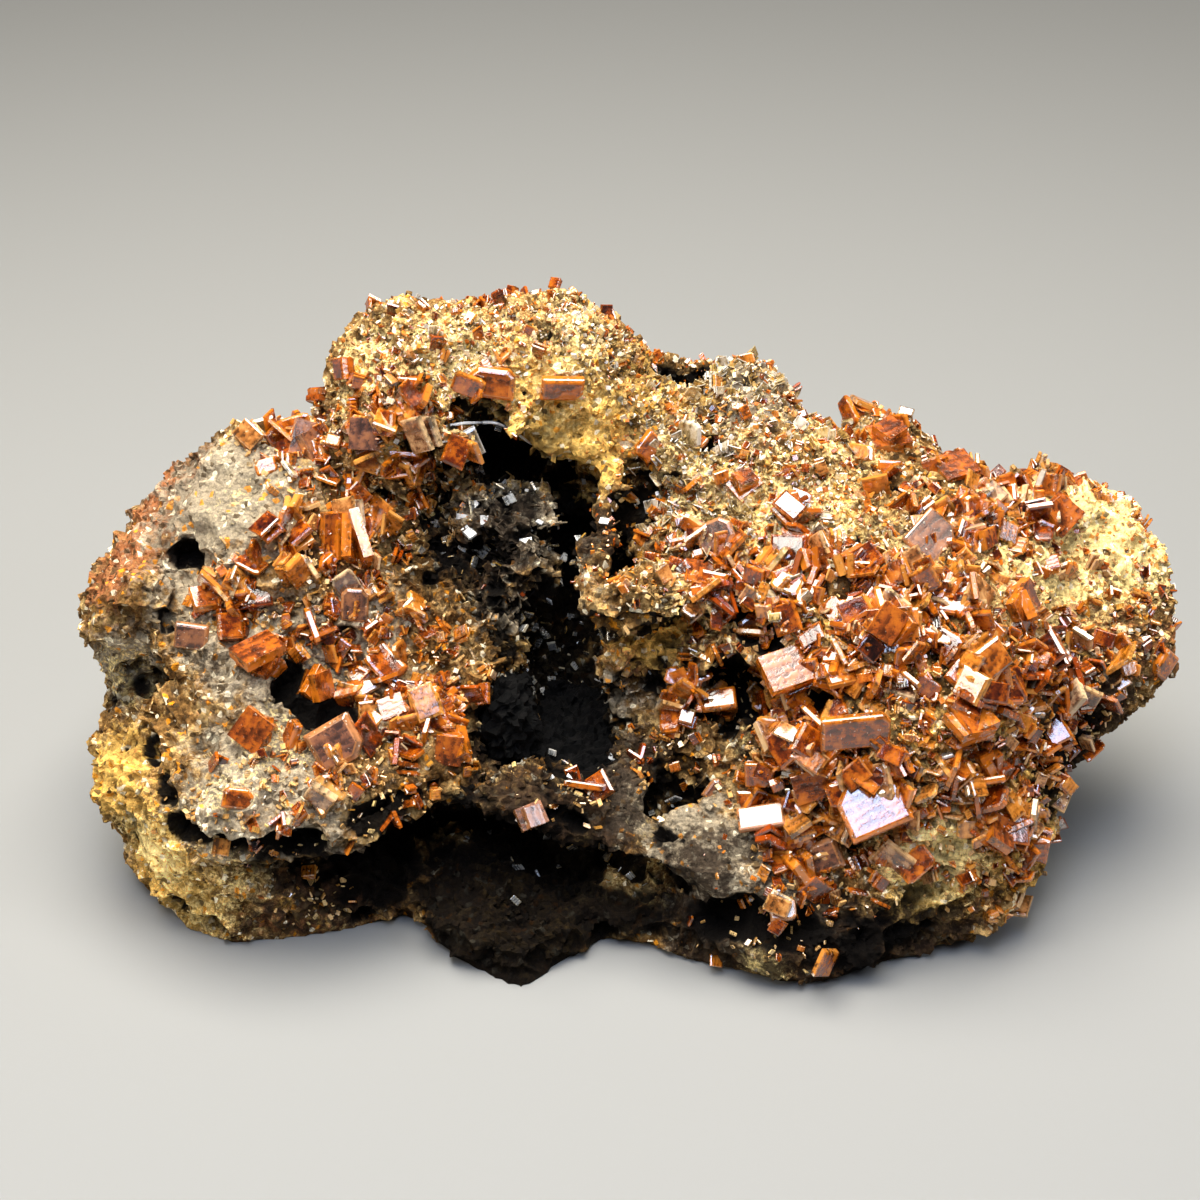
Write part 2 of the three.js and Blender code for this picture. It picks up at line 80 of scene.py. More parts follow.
# Where things are on the specimen: shares of its box, across, front to back and up.
# Each patch is its place's three shares, its radius in millimetres and its strength.
PATCHES = {
    "straw": [
        (0.44, 0.53, 0.84, 4, 0.45), (0.937, 0.564, 0.61, 8, 1.4), (0.88, 0.45, 0.58, 8, 0.8),
        (0.83, 0.4, 0.62, 7, 0.8), (0.7, 0.62, 0.75, 5, 0.8), (0.56, 0.5, 0.74, 8, 0.6),
        (0.64, 0.46, 0.66, 9, 0.7), (0.3, 0.6, 0.86, 6, 0.9), (0.36, 0.56, 0.94, 8, 0.7),
        (0.45, 0.56, 0.97, 8, 0.6), (0.27, 0.6, 0.9, 6, 0.7), (0.66, 0.2, 0.42, 6, 0.4),
        (0.61, 0.005, 0.04, 3, 0.9), (0.16, 0.14, 0.16, 5, 0.5), (0.12, 0.13, 0.06, 6, 0.5),
        (0.73, 0.34, 0.67, 5, 0.6), (0.82, 0.4, 0.63, 5, 0.8), (0.76, 0.09, 0.23, 6, 1),
        (0.62, 0.24, 0.35, 4, 0.5), (0.09, 0.15, 0.17, 5, 0.7), (0.05, 0.38, 0.43, 4, 0.4),
    ],
    "ochre": [
        (0.085, 0.15, 0.2, 6, 1.1), (0.09, 0.16, 0.1, 7, 1), (0.05, 0.23, 0.29, 5, 1.2),
        (0.04, 0.3, 0.42, 3, 0.8), (0.438, 0.54, 0.83, 7, 1.4), (0.475, 0.55, 0.775, 4, 1.2),
        (0.66, 0.45, 0.66, 8, 0.6), (0.53, 0.62, 0.8, 6, 0.6), (0.845, 0.17, 0.25, 7, 1),
        (0.72, 0.27, 0.62, 8, 0.5), (0.74, 0.22, 0.48, 12, 0.6), (0.52, 0.36, 0.51, 5, 0.8),
        (0.9, 0.5, 0.55, 7, 0.5), (0.75, 0.09, 0.14, 5, 0.8), (0.3, 0.55, 0.8, 5, 0.6),
        (0.42, 0.52, 0.9, 6, 0.8), (0.5, 0.58, 0.86, 6, 0.6), (0.33, 0.52, 0.9, 5, 0.5),
    ],
    "rust": [
        (0.93, 0.61, 0.63, 3.5, 0.7), (0.97, 0.59, 0.57, 3, 0.8), (0.05, 0.47, 0.58, 7, 0.9),
        (0.08, 0.54, 0.64, 7, 0.9), (0.37, 0.5, 0.88, 7, 0.8), (0.23, 0.16, 0.07, 6, 0.7),
        (0.53, 0.36, 0.5, 6, 0.9), (0.6, 0.3, 0.6, 9, 0.5), (0.76, 0.24, 0.48, 9, 0.4),
        (0.24, 0.44, 0.62, 5, 0.6), (0.17, 0.3, 0.46, 4, 0.4), (0.2, 0.09, 0.32, 3, 0.6),
        (0.13, 0.42, 0.56, 3, 0.5),
    ],
    "grey": [
        (0.14, 0.5, 0.7, 9, 1.1), (0.11, 0.42, 0.58, 6, 0.7), (0.05, 0.38, 0.43, 5, 1),
        (0.22, 0.3, 0.44, 10, 0.9), (0.19, 0.14, 0.34, 9, 0.9), (0.56, 0.09, 0.23, 7, 1.1),
        (0.62, 0.07, 0.18, 6, 0.8), (0.5, 0.16, 0.25, 5, 0.6), (0.61, 0.64, 0.82, 7, 0.6),
        (0.402, 0.48, 0.66, 6, 1), (0.491, 0.326, 0.38, 4, 0.7), (0.39, 0.42, 0.52, 4, 0.8),
    ],
    # Umber: a dark brown stain, and also painted shade on low, hollow and overhung places.
    "umber": [
        (0.24, 0.24, 0.41, 5, 1), (0.19, 0.1, 0.06, 4, 0.8), (0.26, 0.12, 0.09, 6, 0.7),
        (0.37, 0.24, 0.29, 6, 0.8), (0.41, 0.14, 0.3, 7, 0.9), (0.47, 0.16, 0.27, 7, 0.9),
        (0.49, 0.24, 0.31, 6, 0.8), (0.44, 0.37, 0.22, 8, 1), (0.56, 0.07, 0.08, 6, 1),
        (0.68, 0.01, 0.05, 8, 1), (0.73, 0.07, 0.04, 7, 0.9), (0.66, 0.06, 0.12, 5, 0.6),
        (0.24, 0.16, 0.1, 8, 0.9), (0.62, 0.3, 0.44, 7, 0.7), (0.66, 0.18, 0.4, 12, 0.8),
        (0.9, 0.3, 0.34, 9, 1), (0.34, 0.46, 0.7, 5, 0.6), (0.56, 0.08, 0.21, 5, 0.85),
        (0.62, 0.07, 0.19, 5, 0.6), (0.6, 0.11, 0.24, 6, 0.6), (0.65, 0.05, 0.12, 5, 0.7),
        (0.66, 0.05, 0.14, 5, 0.6), (0.475, 0.42, 0.67, 4, 0.8), (0.2, 0.28, 0.42, 5, 0.5),
        (0.13, 0.3, 0.46, 4, 0.35), (0.38, 0.45, 0.6, 8, 0.8),
    ],
    # Black: painted shade at the foot, under overhangs and deep in the vug, partly a dark coating of the
    # stone.
    "black": [
        (0.39, 0.05, 0.06, 10, 1.6), (0.7, 0.18, 0.42, 10, 0.38), (0.8, 0.22, 0.44, 9, 0.34),
        (0.72, 0.1, 0.28, 8, 0.3), (0.62, 0.46, 0.7, 8, 0.36), (0.56, 0.5, 0.76, 6, 0.3),
        (0.28, 0.4, 0.56, 7, 0.3), (0.29, 0.26, 0.44, 6, 0.3), (0.4, 0.15, 0.08, 12, 1.4),
        (0.47, 0.08, 0.1, 8, 1.2), (0.28, 0.18, 0.14, 7, 1.2), (0.42, 0.5, 0.3, 10, 1.2),
        (0.43, 0.36, 0.22, 9, 1.1), (0.42, 0.5, 0.58, 8, 0.7), (0.4, 0.52, 0.76, 8, 0.7),
        (0.34, 0.54, 0.66, 7, 0.8), (0.5, 0.57, 0.61, 6, 1), (0.89, 0.25, 0.3, 8, 1.1),
        (0.84, 0.4, 0.15, 10, 1.2), (0.56, 0.05, 0.1, 4, 1), (0.67, 0.02, 0.08, 4, 0.9),
        (0.62, 0.72, 0.84, 4, 0.8), (0.7, 0.05, 0.07, 5, 1.1), (0.22, 0.27, 0.42, 3, 0.9),
        (0.075, 0.36, 0.38, 2.5, 1), (0.36, 0.51, 0.69, 5, 0.55), (0.34, 0.54, 0.64, 5, 0.95),
        (0.41, 0.47, 0.66, 5, 0.35), (0.38, 0.46, 0.59, 5, 0.75), (0.35, 0.46, 0.59, 4, 0.9),
        (0.41, 0.47, 0.5, 6, 1), (0.38, 0.41, 0.54, 4, 0.85), (0.4, 0.36, 0.47, 4, 0.9),
        (0.31, 0.54, 0.71, 3, 0.7), (0.43, 0.2, 0.27, 5, 0.8), (0.38, 0.26, 0.28, 4, 0.8),
        (0.72, 0.07, 0.09, 5, 0.9), (0.21, 0.3, 0.43, 4, 0.45), (0.58, 0.08, 0.19, 1.8, 0.9),
        (0.53, 0.12, 0.22, 1.6, 0.9), (0.06, 0.4, 0.36, 2, 0.7), (0.04, 0.38, 0.34, 2, 0.7),
        (0.61, 0.03, 0.1, 4, 0.85), (0.42, 0.19, 0.31, 3, 0.6), (0.47, 0.2, 0.3, 3, 0.6),
        (0.19, 0.1, 0.2, 5, 0.7), (0.24, 0.14, 0.18, 6, 0.9), (0.49, 0.5, 0.71, 2.5, 0.5),
    ],
    "vug": [
        (0.41, 0.46, 0.72, 8, 1.2), (0.36, 0.47, 0.62, 5, 1), (0.41, 0.45, 0.55, 8, 1.2),
        (0.43, 0.45, 0.38, 9, 1.2), (0.44, 0.33, 0.22, 8, 1),
    ],
    "druse": [
        (0.9, 0.64, 0.66, 3, 1.4), (0.93, 0.61, 0.63, 3, 1.4), (0.965, 0.59, 0.58, 3, 1.4),
        (0.66, 0.25, 0.5, 18, 1.3), (0.76, 0.22, 0.5, 18, 1.3), (0.7, 0.15, 0.3, 14, 1.3),
        (0.82, 0.3, 0.45, 14, 1.1), (0.9, 0.45, 0.52, 10, 0.8), (0.8, 0.45, 0.66, 12, 1),
        (0.58, 0.48, 0.72, 12, 0.5), (0.7, 0.62, 0.78, 7, 1), (0.42, 0.55, 0.95, 12, 0.6),
        (0.3, 0.5, 0.74, 9, 1.2), (0.2, 0.58, 0.74, 7, 1), (0.24, 0.42, 0.6, 8, 1),
        (0.17, 0.37, 0.56, 7, 1.1), (0.27, 0.36, 0.5, 7, 1.1), (0.31, 0.26, 0.42, 8, 1.2),
        (0.28, 0.13, 0.34, 6, 0.8), (0.2, 0.14, 0.34, 8, 0.6), (0.44, 0.14, 0.29, 7, 0.6),
        (0.53, 0.26, 0.36, 6, 0.6), (0.24, 0.16, 0.07, 5, 0.7), (0.75, 0.85, 0.6, 14, 0.5),
        (0.45, 0.9, 0.7, 14, 0.4),
    ],
    # Heaps: where the large tablets grow thickest; the stone under them gets a dark stain that is painted
    # shade between the crystals.
    "heaps": [
        (0.965, 0.59, 0.58, 3, 1), (0.9, 0.64, 0.66, 3, 0.8), (0.66, 0.25, 0.5, 15, 1.1),
        (0.76, 0.22, 0.5, 15, 1.1), (0.72, 0.12, 0.32, 14, 1.1), (0.82, 0.3, 0.45, 12, 1),
        (0.88, 0.45, 0.55, 9, 0.6), (0.8, 0.5, 0.68, 10, 0.9), (0.58, 0.4, 0.66, 8, 0.3),
        (0.73, 0.8, 0.78, 6, 1), (0.42, 0.5, 0.93, 10, 0.14), (0.3, 0.5, 0.74, 8, 1.2),
        (0.2, 0.58, 0.74, 6, 0.7), (0.24, 0.42, 0.6, 8, 1), (0.17, 0.37, 0.56, 6, 1.2),
        (0.27, 0.36, 0.5, 6, 1.2), (0.31, 0.26, 0.42, 7, 1.2), (0.28, 0.13, 0.34, 6, 0.6),
        (0.44, 0.14, 0.29, 8, 0.4),
    ],
    "bleached": [
        (0.95, 0.6, 0.61, 3, 0.9), (0.56, 0.54, 0.78, 8, 1.1), (0.63, 0.48, 0.72, 9, 0.9),
        (0.6, 0.68, 0.84, 7, 1), (0.47, 0.6, 0.98, 8, 0.9), (0.36, 0.56, 0.94, 9, 0.9),
        (0.29, 0.56, 0.8, 6, 0.6), (0.35, 0.46, 0.72, 4, 0.8), (0.937, 0.564, 0.64, 7, 0.5),
        (0.72, 0.76, 0.78, 6, 0.6), (0.49, 0.4, 0.6, 5, 0.5), (0.84, 0.3, 0.5, 9, 0.3),
        (0.66, 0.2, 0.34, 9, 0.25),
    ],
    "ridge": [
        (0.56, 0.52, 0.77, 8, 1), (0.61, 0.46, 0.7, 8, 1), (0.66, 0.4, 0.64, 7, 0.8),
        (0.6, 0.66, 0.83, 7, 0.8), (0.7, 0.66, 0.78, 6, 0.6), (0.56, 0.36, 0.58, 5, 0.8),
        (0.3, 0.5, 0.72, 5, 0.5), (0.47, 0.56, 0.97, 6, 0.4),
    ],
    "boxwork": [
        (0.4, 0.47, 0.66, 7, 1), (0.385, 0.41, 0.53, 6, 0.9), (0.34, 0.53, 0.67, 6, 1),
        (0.49, 0.33, 0.42, 5, 1), (0.42, 0.42, 0.3, 8, 0.7), (0.06, 0.38, 0.43, 5, 0.7),
        (0.53, 0.45, 0.64, 5, 0.8), (0.55, 0.68, 0.83, 6, 0.6),
    ],
    # Weathered: where the painted shade of hollows and undersides is made weaker.
    "weathered": [
        (0.05, 0.38, 0.44, 5, 1.3), (0.08, 0.33, 0.38, 5, 1), (0.44, 0.54, 0.82, 6, 1.4),
        (0.47, 0.56, 0.78, 3, 1.4),
    ],
    "glints": [
        (0.35, 0.47, 0.65, 2.2, 1), (0.38, 0.47, 0.63, 1.8, 1), (0.34, 0.49, 0.6, 2, 0.7),
    ],
    "bare": [
        (0.4, 0.46, 0.66, 8, 1.3), (0.4, 0.42, 0.52, 6, 1.3), (0.42, 0.42, 0.3, 9, 1.3),
        (0.491, 0.35, 0.4, 4, 1.2), (0.4, 0.1, 0.07, 11, 1.3), (0.3, 0.16, 0.14, 6, 1),
        (0.06, 0.49, 0.6, 9, 1.2), (0.13, 0.5, 0.7, 6, 1), (0.22, 0.27, 0.42, 4, 1.1),
        (0.13, 0.3, 0.42, 7, 0.8), (0.517, 0.336, 0.5, 5, 1), (0.937, 0.564, 0.61, 6, 0.9),
        (0.438, 0.54, 0.82, 7, 1.3), (0.475, 0.55, 0.77, 3, 1.2), (0.36, 0.47, 0.62, 6, 1.2),
        (0.72, 0.07, 0.09, 6, 1.2), (0.46, 0.3, 0.6, 2.5, 0.8), (0.671, 0.611, 0.77, 3, 0.8),
        (0.57, 0.1, 0.24, 5, 0.9), (0.5, 0.16, 0.25, 3, 0.6), (0.82, 0.42, 0.63, 4, 0.8),
        (0.88, 0.42, 0.56, 4, 0.7), (0.7, 0.4, 0.67, 3, 0.7), (0.61, 0.27, 0.5, 5, 1),
        (0.58, 0.24, 0.33, 4, 0.7), (0.78, 0.1, 0.25, 3, 0.6),
    ],
}

# Clefts where one sheet of stone breaks over another, and the mouths of small pits.
# Each is [from, to, width in millimetres, depth in millimetres].
CLEFTS = [
    [(0.12, 0.12, 0.275), (0.23, 0.07, 0.265), 1.5, 3],
    [(0.105, 0.17, 0.31), (0.12, 0.12, 0.275), 1.1, 2.4],
    [(0.085, 0.24, 0.355), (0.095, 0.21, 0.335), 0.7, 1.8],
    [(0.28, 0.09, 0.31), (0.36, 0.13, 0.31), 1.9, 3], [(0.06, 0.37, 0.4), (0.09, 0.36, 0.38), 1.3, 2.2],
    [(0.2, 0.3, 0.42), (0.25, 0.25, 0.41), 2.6, 3.4], [(0.11, 0.46, 0.6), (0.11, 0.45, 0.6), 1.1, 2.4],
    [(0.13, 0.41, 0.56), (0.135, 0.41, 0.56), 1.1, 2], [(0.52, 0.7, 0.83), (0.57, 0.72, 0.81), 1.7, 3],
    [(0.57, 0.56, 0.79), (0.575, 0.56, 0.79), 1, 2.2], [(0.59, 0.32, 0.41), (0.63, 0.26, 0.44), 2.2, 3.2],
    [(0.64, 0.22, 0.46), (0.67, 0.2, 0.47), 1.6, 2.8], [(0.61, 0.37, 0.63), (0.64, 0.33, 0.6), 1, 2],
    [(0.57, 0.06, 0.12), (0.64, 0.03, 0.12), 1.6, 2.6], [(0.71, 0.33, 0.62), (0.73, 0.3, 0.6), 0.9, 1.8],
    [(0.13, 0.32, 0.41), (0.15, 0.27, 0.4), 0.8, 1.6], [(0.4, 0.13, 0.28), (0.46, 0.14, 0.25), 0.9, 1.8],
    [(0.07, 0.22, 0.21), (0.07, 0.22, 0.2), 0.8, 1.6], [(0.6, 0.3, 0.57), (0.62, 0.27, 0.53), 1.4, 2.6],
    [(0.625, 0.29, 0.49), (0.6, 0.26, 0.42), 1.8, 3.2], [(0.72, 0.115, 0.33), (0.74, 0.11, 0.31), 0.9, 2],
    [(0.8, 0.19, 0.42), (0.82, 0.2, 0.42), 0.9, 1.8], [(0.69, 0.3, 0.63), (0.7, 0.27, 0.6), 0.9, 2],
    [(0.53, 0.13, 0.24), (0.55, 0.11, 0.23), 0.8, 1.8], [(0.545, 0.41, 0.64), (0.575, 0.4, 0.63), 1.1, 2.4],
    [(0.6, 0.5, 0.69), (0.61, 0.48, 0.68), 0.8, 1.8], [(0.65, 0.07, 0.17), (0.67, 0.06, 0.16), 0.8, 1.8],
    [(0.355, 0.52, 0.845), (0.375, 0.54, 0.845), 1.5, 3],
    [(0.1, 0.47, 0.615), (0.12, 0.445, 0.59), 0.9, 1.6],
]

# Thin pillars of stone across the vug: the places each runs through, and its radius in millimetres.
PILLARS = [
    [[(0.470, 0.575, 0.785), (0.483, 0.52, 0.735), (0.474, 0.47, 0.70), (0.480, 0.41, 0.665),
      (0.463, 0.31, 0.61)], 0.95],
    [[(0.479, 0.50, 0.72), (0.498, 0.50, 0.715), (0.515, 0.54, 0.70)], 0.6],
    [[(0.425, 0.55, 0.797), (0.45, 0.55, 0.785), (0.475, 0.555, 0.768)], 1.7],
    [[(0.415, 0.57, 0.80), (0.44, 0.56, 0.77), (0.47, 0.56, 0.75)], 1.0],
    [[(0.476, 0.42, 0.67), (0.458, 0.40, 0.655), (0.455, 0.33, 0.615)], 0.7],
]

# The places that a fine fibre, slung across the vug's arch, runs through.
THREAD = [(0.330, 0.505, 0.836), (0.356, 0.510, 0.843), (0.382, 0.525, 0.836), (0.398, 0.537, 0.812),
          (0.412, 0.552, 0.778), (0.428, 0.575, 0.765)]

# Small bright tablets in the vug that lie tilted to the light: each one's place and its size in millimetres.
BRIGHT = [
    [(0.352, 0.48, 0.668), 1.2], [(0.358, 0.455, 0.652), 1.4], [(0.372, 0.455, 0.676), 1.2],
    [(0.362, 0.49, 0.69), 0.8], [(0.408, 0.445, 0.64), 1.2], [(0.42, 0.47, 0.665), 0.7],
    [(0.44, 0.355, 0.228), 1.3], [(0.46, 0.4, 0.23), 0.9], [(0.475, 0.41, 0.23), 0.8],
    [(0.45, 0.2, 0.31), 1.1], [(0.47, 0.2, 0.302), 0.9], [(0.485, 0.25, 0.312), 1],
    [(0.43, 0.19, 0.315), 0.8], [(0.477, 0.43, 0.69), 0.9],
]
FACING_LIGHT = (-0.03, -0.48, 0.875)  # the way their faces look
FRONT = (0, -0.866, 0.5)              # the way out of the vug

# The crystals with a dull mauve bloom on their faces; the others are bright.
FROSTED = ["plate_shoulder", "plate_frosted", "block_foot", "square_dark", "plate_ridge_mauve",
           "plate_in_bowl", "square_mauve", "plate_left_brown", "plates_shoulder_left", "plates_neck",
           "cluster_vug_rim", "tablet_ledge"]

# ---------------------------------------------------------------- small helpers


def colour(hex_value):
    """An sRGB hex colour as linear red, green, blue and alpha."""
    channels = [int(hex_value[i:i + 2], 16) / 255 for i in (0, 2, 4)]
    linear = [c / 12.92 if c <= 0.04045 else ((c + 0.055) / 1.055) ** 2.4 for c in channels]
    return (*linear, 1.0)


def add(tree, kind, inputs=None, stops=(), **settings):
    """Adds a node with its settings, and sets or links each input named or numbered. An input given as a
    node is linked to the first output that this node has in use. Stops are a ramp's places and colours."""
    node = tree.nodes.new(kind)
    for name, value in settings.items():
        setattr(node, name, value)
    for i, (place, shade) in enumerate(stops):
        elements = node.color_ramp.elements
        stop = elements[i] if i < 2 else elements.new(place)
        stop.position, stop.color = place, colour(shade)
    for key, value in (inputs or {}).items():
        named = (socket for socket in node.inputs if socket.enabled and socket.name == key)
        socket = node.inputs[key] if isinstance(key, int) else next(named)
        if isinstance(value, bpy.types.Node):
            value = next(output for output in value.outputs if output.enabled)
        if isinstance(value, bpy.types.NodeSocket):
            tree.links.new(value, socket)
        else:
            socket.default_value = value
    return node


def on_box(place):
    """A place given in shares of the specimen's box, as a point in the frame."""
    low, high = cad_box
    return np.array([low[i] + (high[i] - low[i]) * place[i] for i in range(3)])


def ease(low, high, value):
    """0 below low, 1 above high, and a smooth rise between."""
    share = np.clip((value - low) / (high - low), 0, 1)
    return share * share * (3 - 2 * share)


def corners_of(mesh):
    """A mesh's vertices as an array of points."""
    points = np.empty(len(mesh.vertices) * 3, np.float32)
    mesh.vertices.foreach_get("co", points)
    return points.reshape(-1, 3)


def normals_of(mesh):
    """A mesh's vertex normals as an array."""
    normals = np.empty(len(mesh.vertices) * 3, np.float32)
    mesh.vertex_normals.foreach_get("vector", normals)
    return normals.reshape(-1, 3)


def shell_of(node):
    """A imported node's points and triangles, with the points that triangles share merged."""
    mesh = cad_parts[node].data
    mesh.calc_loop_triangles()
    loops = np.empty(len(mesh.loop_triangles) * 3, np.int32)
    mesh.loop_triangles.foreach_get("vertices", loops)
    points = corners_of(mesh)
    keys = np.round(points / (MERGED * MM)).astype(np.int64)
    _, first, which = np.unique(keys, axis=0, return_index=True, return_inverse=True)
    triangles = which.ravel()[loops].reshape(-1, 3)
    whole = (triangles[:, 0] != triangles[:, 1]) & (triangles[:, 1] != triangles[:, 2])
    whole &= triangles[:, 0] != triangles[:, 2]
    return points[first], triangles[whole]


def mesh_from(name, points, faces):
    """A mesh from points and faces."""
    mesh = bpy.data.meshes.new(name)
    mesh.from_pydata([tuple(p) for p in points.tolist()], [], [tuple(f) for f in faces.tolist()])
    mesh.update()
    return mesh


def piece_from(name, mesh):
    """An object for a mesh, at the origin, in the scene."""
    piece = bpy.data.objects.new(name, mesh)
    bpy.context.scene.collection.objects.link(piece)
    return piece


def settle(piece):
    """Turns a piece's live modifiers into its plain mesh."""
    view = bpy.context.evaluated_depsgraph_get()
    mesh = bpy.data.meshes.new_from_object(piece.evaluated_get(view))
    piece.modifiers.clear()
    piece.data = mesh
    return piece


def hand_in(piece, material, slot, *nodes):
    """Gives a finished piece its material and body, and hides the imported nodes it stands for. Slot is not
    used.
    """
    piece.data.materials.clear()
    piece.data.materials.append(material)
    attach(piece, "root")
    if nodes:
        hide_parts(*nodes)


def write_values(mesh, name, values):
    """Stores one number for each point of a mesh."""
    attribute = mesh.attributes.new(name, "FLOAT", "POINT")
    attribute.data.foreach_set("value", values.astype(np.float32))


def read_values(mesh, name):
    """The number stored for each point of a mesh."""
    values = np.empty(len(mesh.vertices), np.float32)
    mesh.attributes[name].data.foreach_get("value", values)
    return values


def largest_island(mesh):
    """The mesh without the loose bits and inner hollows: only its largest joined part stays."""
    edges = np.empty(len(mesh.edges) * 2, np.int32)
    mesh.edges.foreach_get("vertices", edges)
    edges = edges.reshape(-1, 2)
    label = np.arange(len(mesh.vertices))
    while True:
        lowest = np.minimum(label[edges[:, 0]], label[edges[:, 1]])
        merged = label.copy()
        np.minimum.at(merged, label[edges[:, 0]], lowest)
        np.minimum.at(merged, label[edges[:, 1]], lowest)
        merged = merged[merged]
        new = merged[label]
        if np.array_equal(new, label):
            break
        label = new
    keep = label == np.bincount(label).argmax()
    faces = [tuple(p.vertices) for p in mesh.polygons if keep[p.vertices[0]]]
    new_index = np.cumsum(keep) - 1
    whole = bpy.data.meshes.new(mesh.name)
    whole.from_pydata(corners_of(mesh)[keep].tolist(), [], [[int(new_index[v]) for v in f] for f in faces])
    whole.update()
    return whole


# ---------------------------------------------------------------- patterns in the rock


def at_each(points, size, pattern):
    """A noise pattern's value at each point, its features of the given size in millimetres."""
    scaled = points / (size * MM)
    return np.array([pattern(Vector(p)) for p in scaled.tolist()])


def lumps(shift):
    """Rounded lumps, from about -1 to 1."""
    away = Vector((shift, -shift, 2 * shift))
    return lambda p: noise.fractal(p + away, 1.0, 2.0, 3)


def crags(p):
    """Sharp crests with hollows between, from about 0 to 2."""
    return noise.ridged_multi_fractal(p, 1.0, 2.1, 4, 1.0, 2.0)


def walls(p):
    """Near 0 along the thin walls between cells, and larger inside them."""
    near = noise.voronoi(p)[0]
    return near[1] - near[0]


def pores(p):
    """Distance to the nearest pore's middle, in pore sizes."""
    return noise.voronoi(p)[0][0]


def away_from(points, a, b):
    """Each point's distance from the line between two places."""
    along = np.clip((points - a) @ (b - a) / ((b - a) @ (b - a)), 0, 1)
    return np.linalg.norm(points - a - along[:, None] * (b - a), axis=1)


def clefts(points):
    """How deep each point lies in a cleft, in millimetres."""
    deep = np.zeros(len(points))
    ragged = 0.45 * at_each(points, 1.6, lumps(27))
    points = points.copy()
    for axis, shift in ((0, 61), (2, 67)):
        points[:, axis] += 0.9 * MM * at_each(points, 5, lumps(shift))
    for start, end, width, depth in CLEFTS:
        away = away_from(points, on_box(start), on_box(end)) / MM
        deep = np.maximum(deep, depth * ease(1.45 * width, 0.55 * width, away + ragged))
    return deep


def patch(points, name):
    """How strongly a named patch covers each point."""
    total = np.zeros(len(points))
    for *place, radius, strength in PATCHES[name]:
        distance = np.linalg.norm(points - on_box(place), axis=1) / (radius * MM)
        total = np.maximum(total, strength * np.exp(-distance ** 2))
    return total


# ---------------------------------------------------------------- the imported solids

crystal_nodes = sorted(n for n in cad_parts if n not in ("matrix", "vug_crust"))
shells = {node: shell_of(node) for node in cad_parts}
rock_points, rock_faces = shells["matrix"]
rock_tree = BVHTree.FromPolygons(rock_points.tolist(), rock_faces.tolist())


def ball():
    """The corners and outward triangles of a ball with twenty sides, its radius 1."""
    points, triangles = [], []
    golden_ratio = (1 + 5 ** 0.5) / 2
    for short in (-1, 1):
        for long in (-golden_ratio, golden_ratio):
            points += [(0, short, long), (short, long, 0), (long, 0, short)]
    points = np.array(points) / math.hypot(1, golden_ratio)
    longest_edge = 1.2
    for a, b, c in itertools.combinations(range(len(points)), 3):
        edges = [np.linalg.norm(points[i] - points[j]) for i, j in ((a, b), (b, c), (a, c))]
        if max(edges) < longest_edge:
            turn = np.cross(points[b] - points[a], points[c] - points[a])
            outward = turn @ (points[a] + points[b] + points[c]) > 0
            triangles.append((a, b, c) if outward else (a, c, b))
    return points, np.array(triangles)


ball_points, ball_faces = ball()


def spread_over(points, faces, step):
    """Points spread over triangles, about one step apart."""
    spread = []
    for a, b, c in points[faces]:
        rows = max(1, int(np.ceil(max(np.linalg.norm(b - a), np.linalg.norm(c - a)) / step)))
        for i in range(rows + 1):
            for j in range(rows + 1 - i):
                spread.append(a + (b - a) * (i / rows) + (c - a) * (j / rows))
    return spread


def mortar():
    """Crumbs that fill the narrow gap between each crystal's foot and its socket."""
    centres = []
    for node in crystal_nodes:
        for point in spread_over(*shells[node], 2 * MORTAR_STEP * MM):
            touch = rock_tree.find_nearest(Vector(point), SOCKET_REACH * MM)[0]
            if touch is not None:
                centres.append((point + np.array(touch)) / 2)
    centres = np.unique(np.round(np.array(centres) / (MORTAR_STEP * MM)), axis=0) * MORTAR_STEP * MM
    points = centres[:, None] + ball_points[None] * MORTAR * MM
    faces = np.arange(len(centres))[:, None, None] * len(ball_points) + ball_faces[None]
    return points.reshape(-1, 3), faces.reshape(-1, 3)


def pillar_parts():
    """Each straight part of each pillar: its two ends and its radius in millimetres."""
    for places, radius in PILLARS:
        ends = np.array([on_box(place) for place in places])
        for a, b in zip(ends[:-1], ends[1:]):
            yield a, b, radius


def pillars():
    """Knobbly chains of small balls that the voxels join into thin pillars of stone."""
    points, faces = [], []
    for a, b, radius in pillar_parts():
        steps = max(2, int(np.linalg.norm(b - a) / (PILLAR_STEP * MM)))
        for step in range(steps):
            middle = a + (b - a) * (step / steps)
            swell = 1 + 0.9 * noise.noise(Vector(middle / (1.1 * MM)))
            faces += (ball_faces + len(points)).tolist()
            points += (middle + ball_points * radius * swell * MM).tolist()
    return np.array(points), np.array(faces)


def voxel_skin(name, points, faces, voxel):
    """A closed even skin round some solids that may overlap."""
    piece = piece_from(name, mesh_from(name, points, faces))
    remesh = piece.modifiers.new("voxels", "REMESH")
    remesh.mode = "VOXEL"
    remesh.voxel_size = voxel * MM
    settle(piece)
    piece.data = largest_island(piece.data)
    return piece


def push(piece, heights):
    """Moves each point along its normal by so many millimetres, and keeps the foot flat."""
    mesh = piece.data
    points = corners_of(mesh) + normals_of(mesh) * (heights * MM)[:, None]
    points[:, 2] = np.maximum(points[:, 2], 0)
    mesh.vertices.foreach_set("co", points.astype(np.float32).ravel())
    mesh.update()


def thin_to(piece, triangles):
    """Thins a mesh to a number of triangles, fewer where it is flat."""
    piece.data.calc_loop_triangles()
    share = triangles / len(piece.data.loop_triangles)
    if share < 1:
        thinner = piece.modifiers.new("thinner", "DECIMATE")
        thinner.ratio = share
        settle(piece)


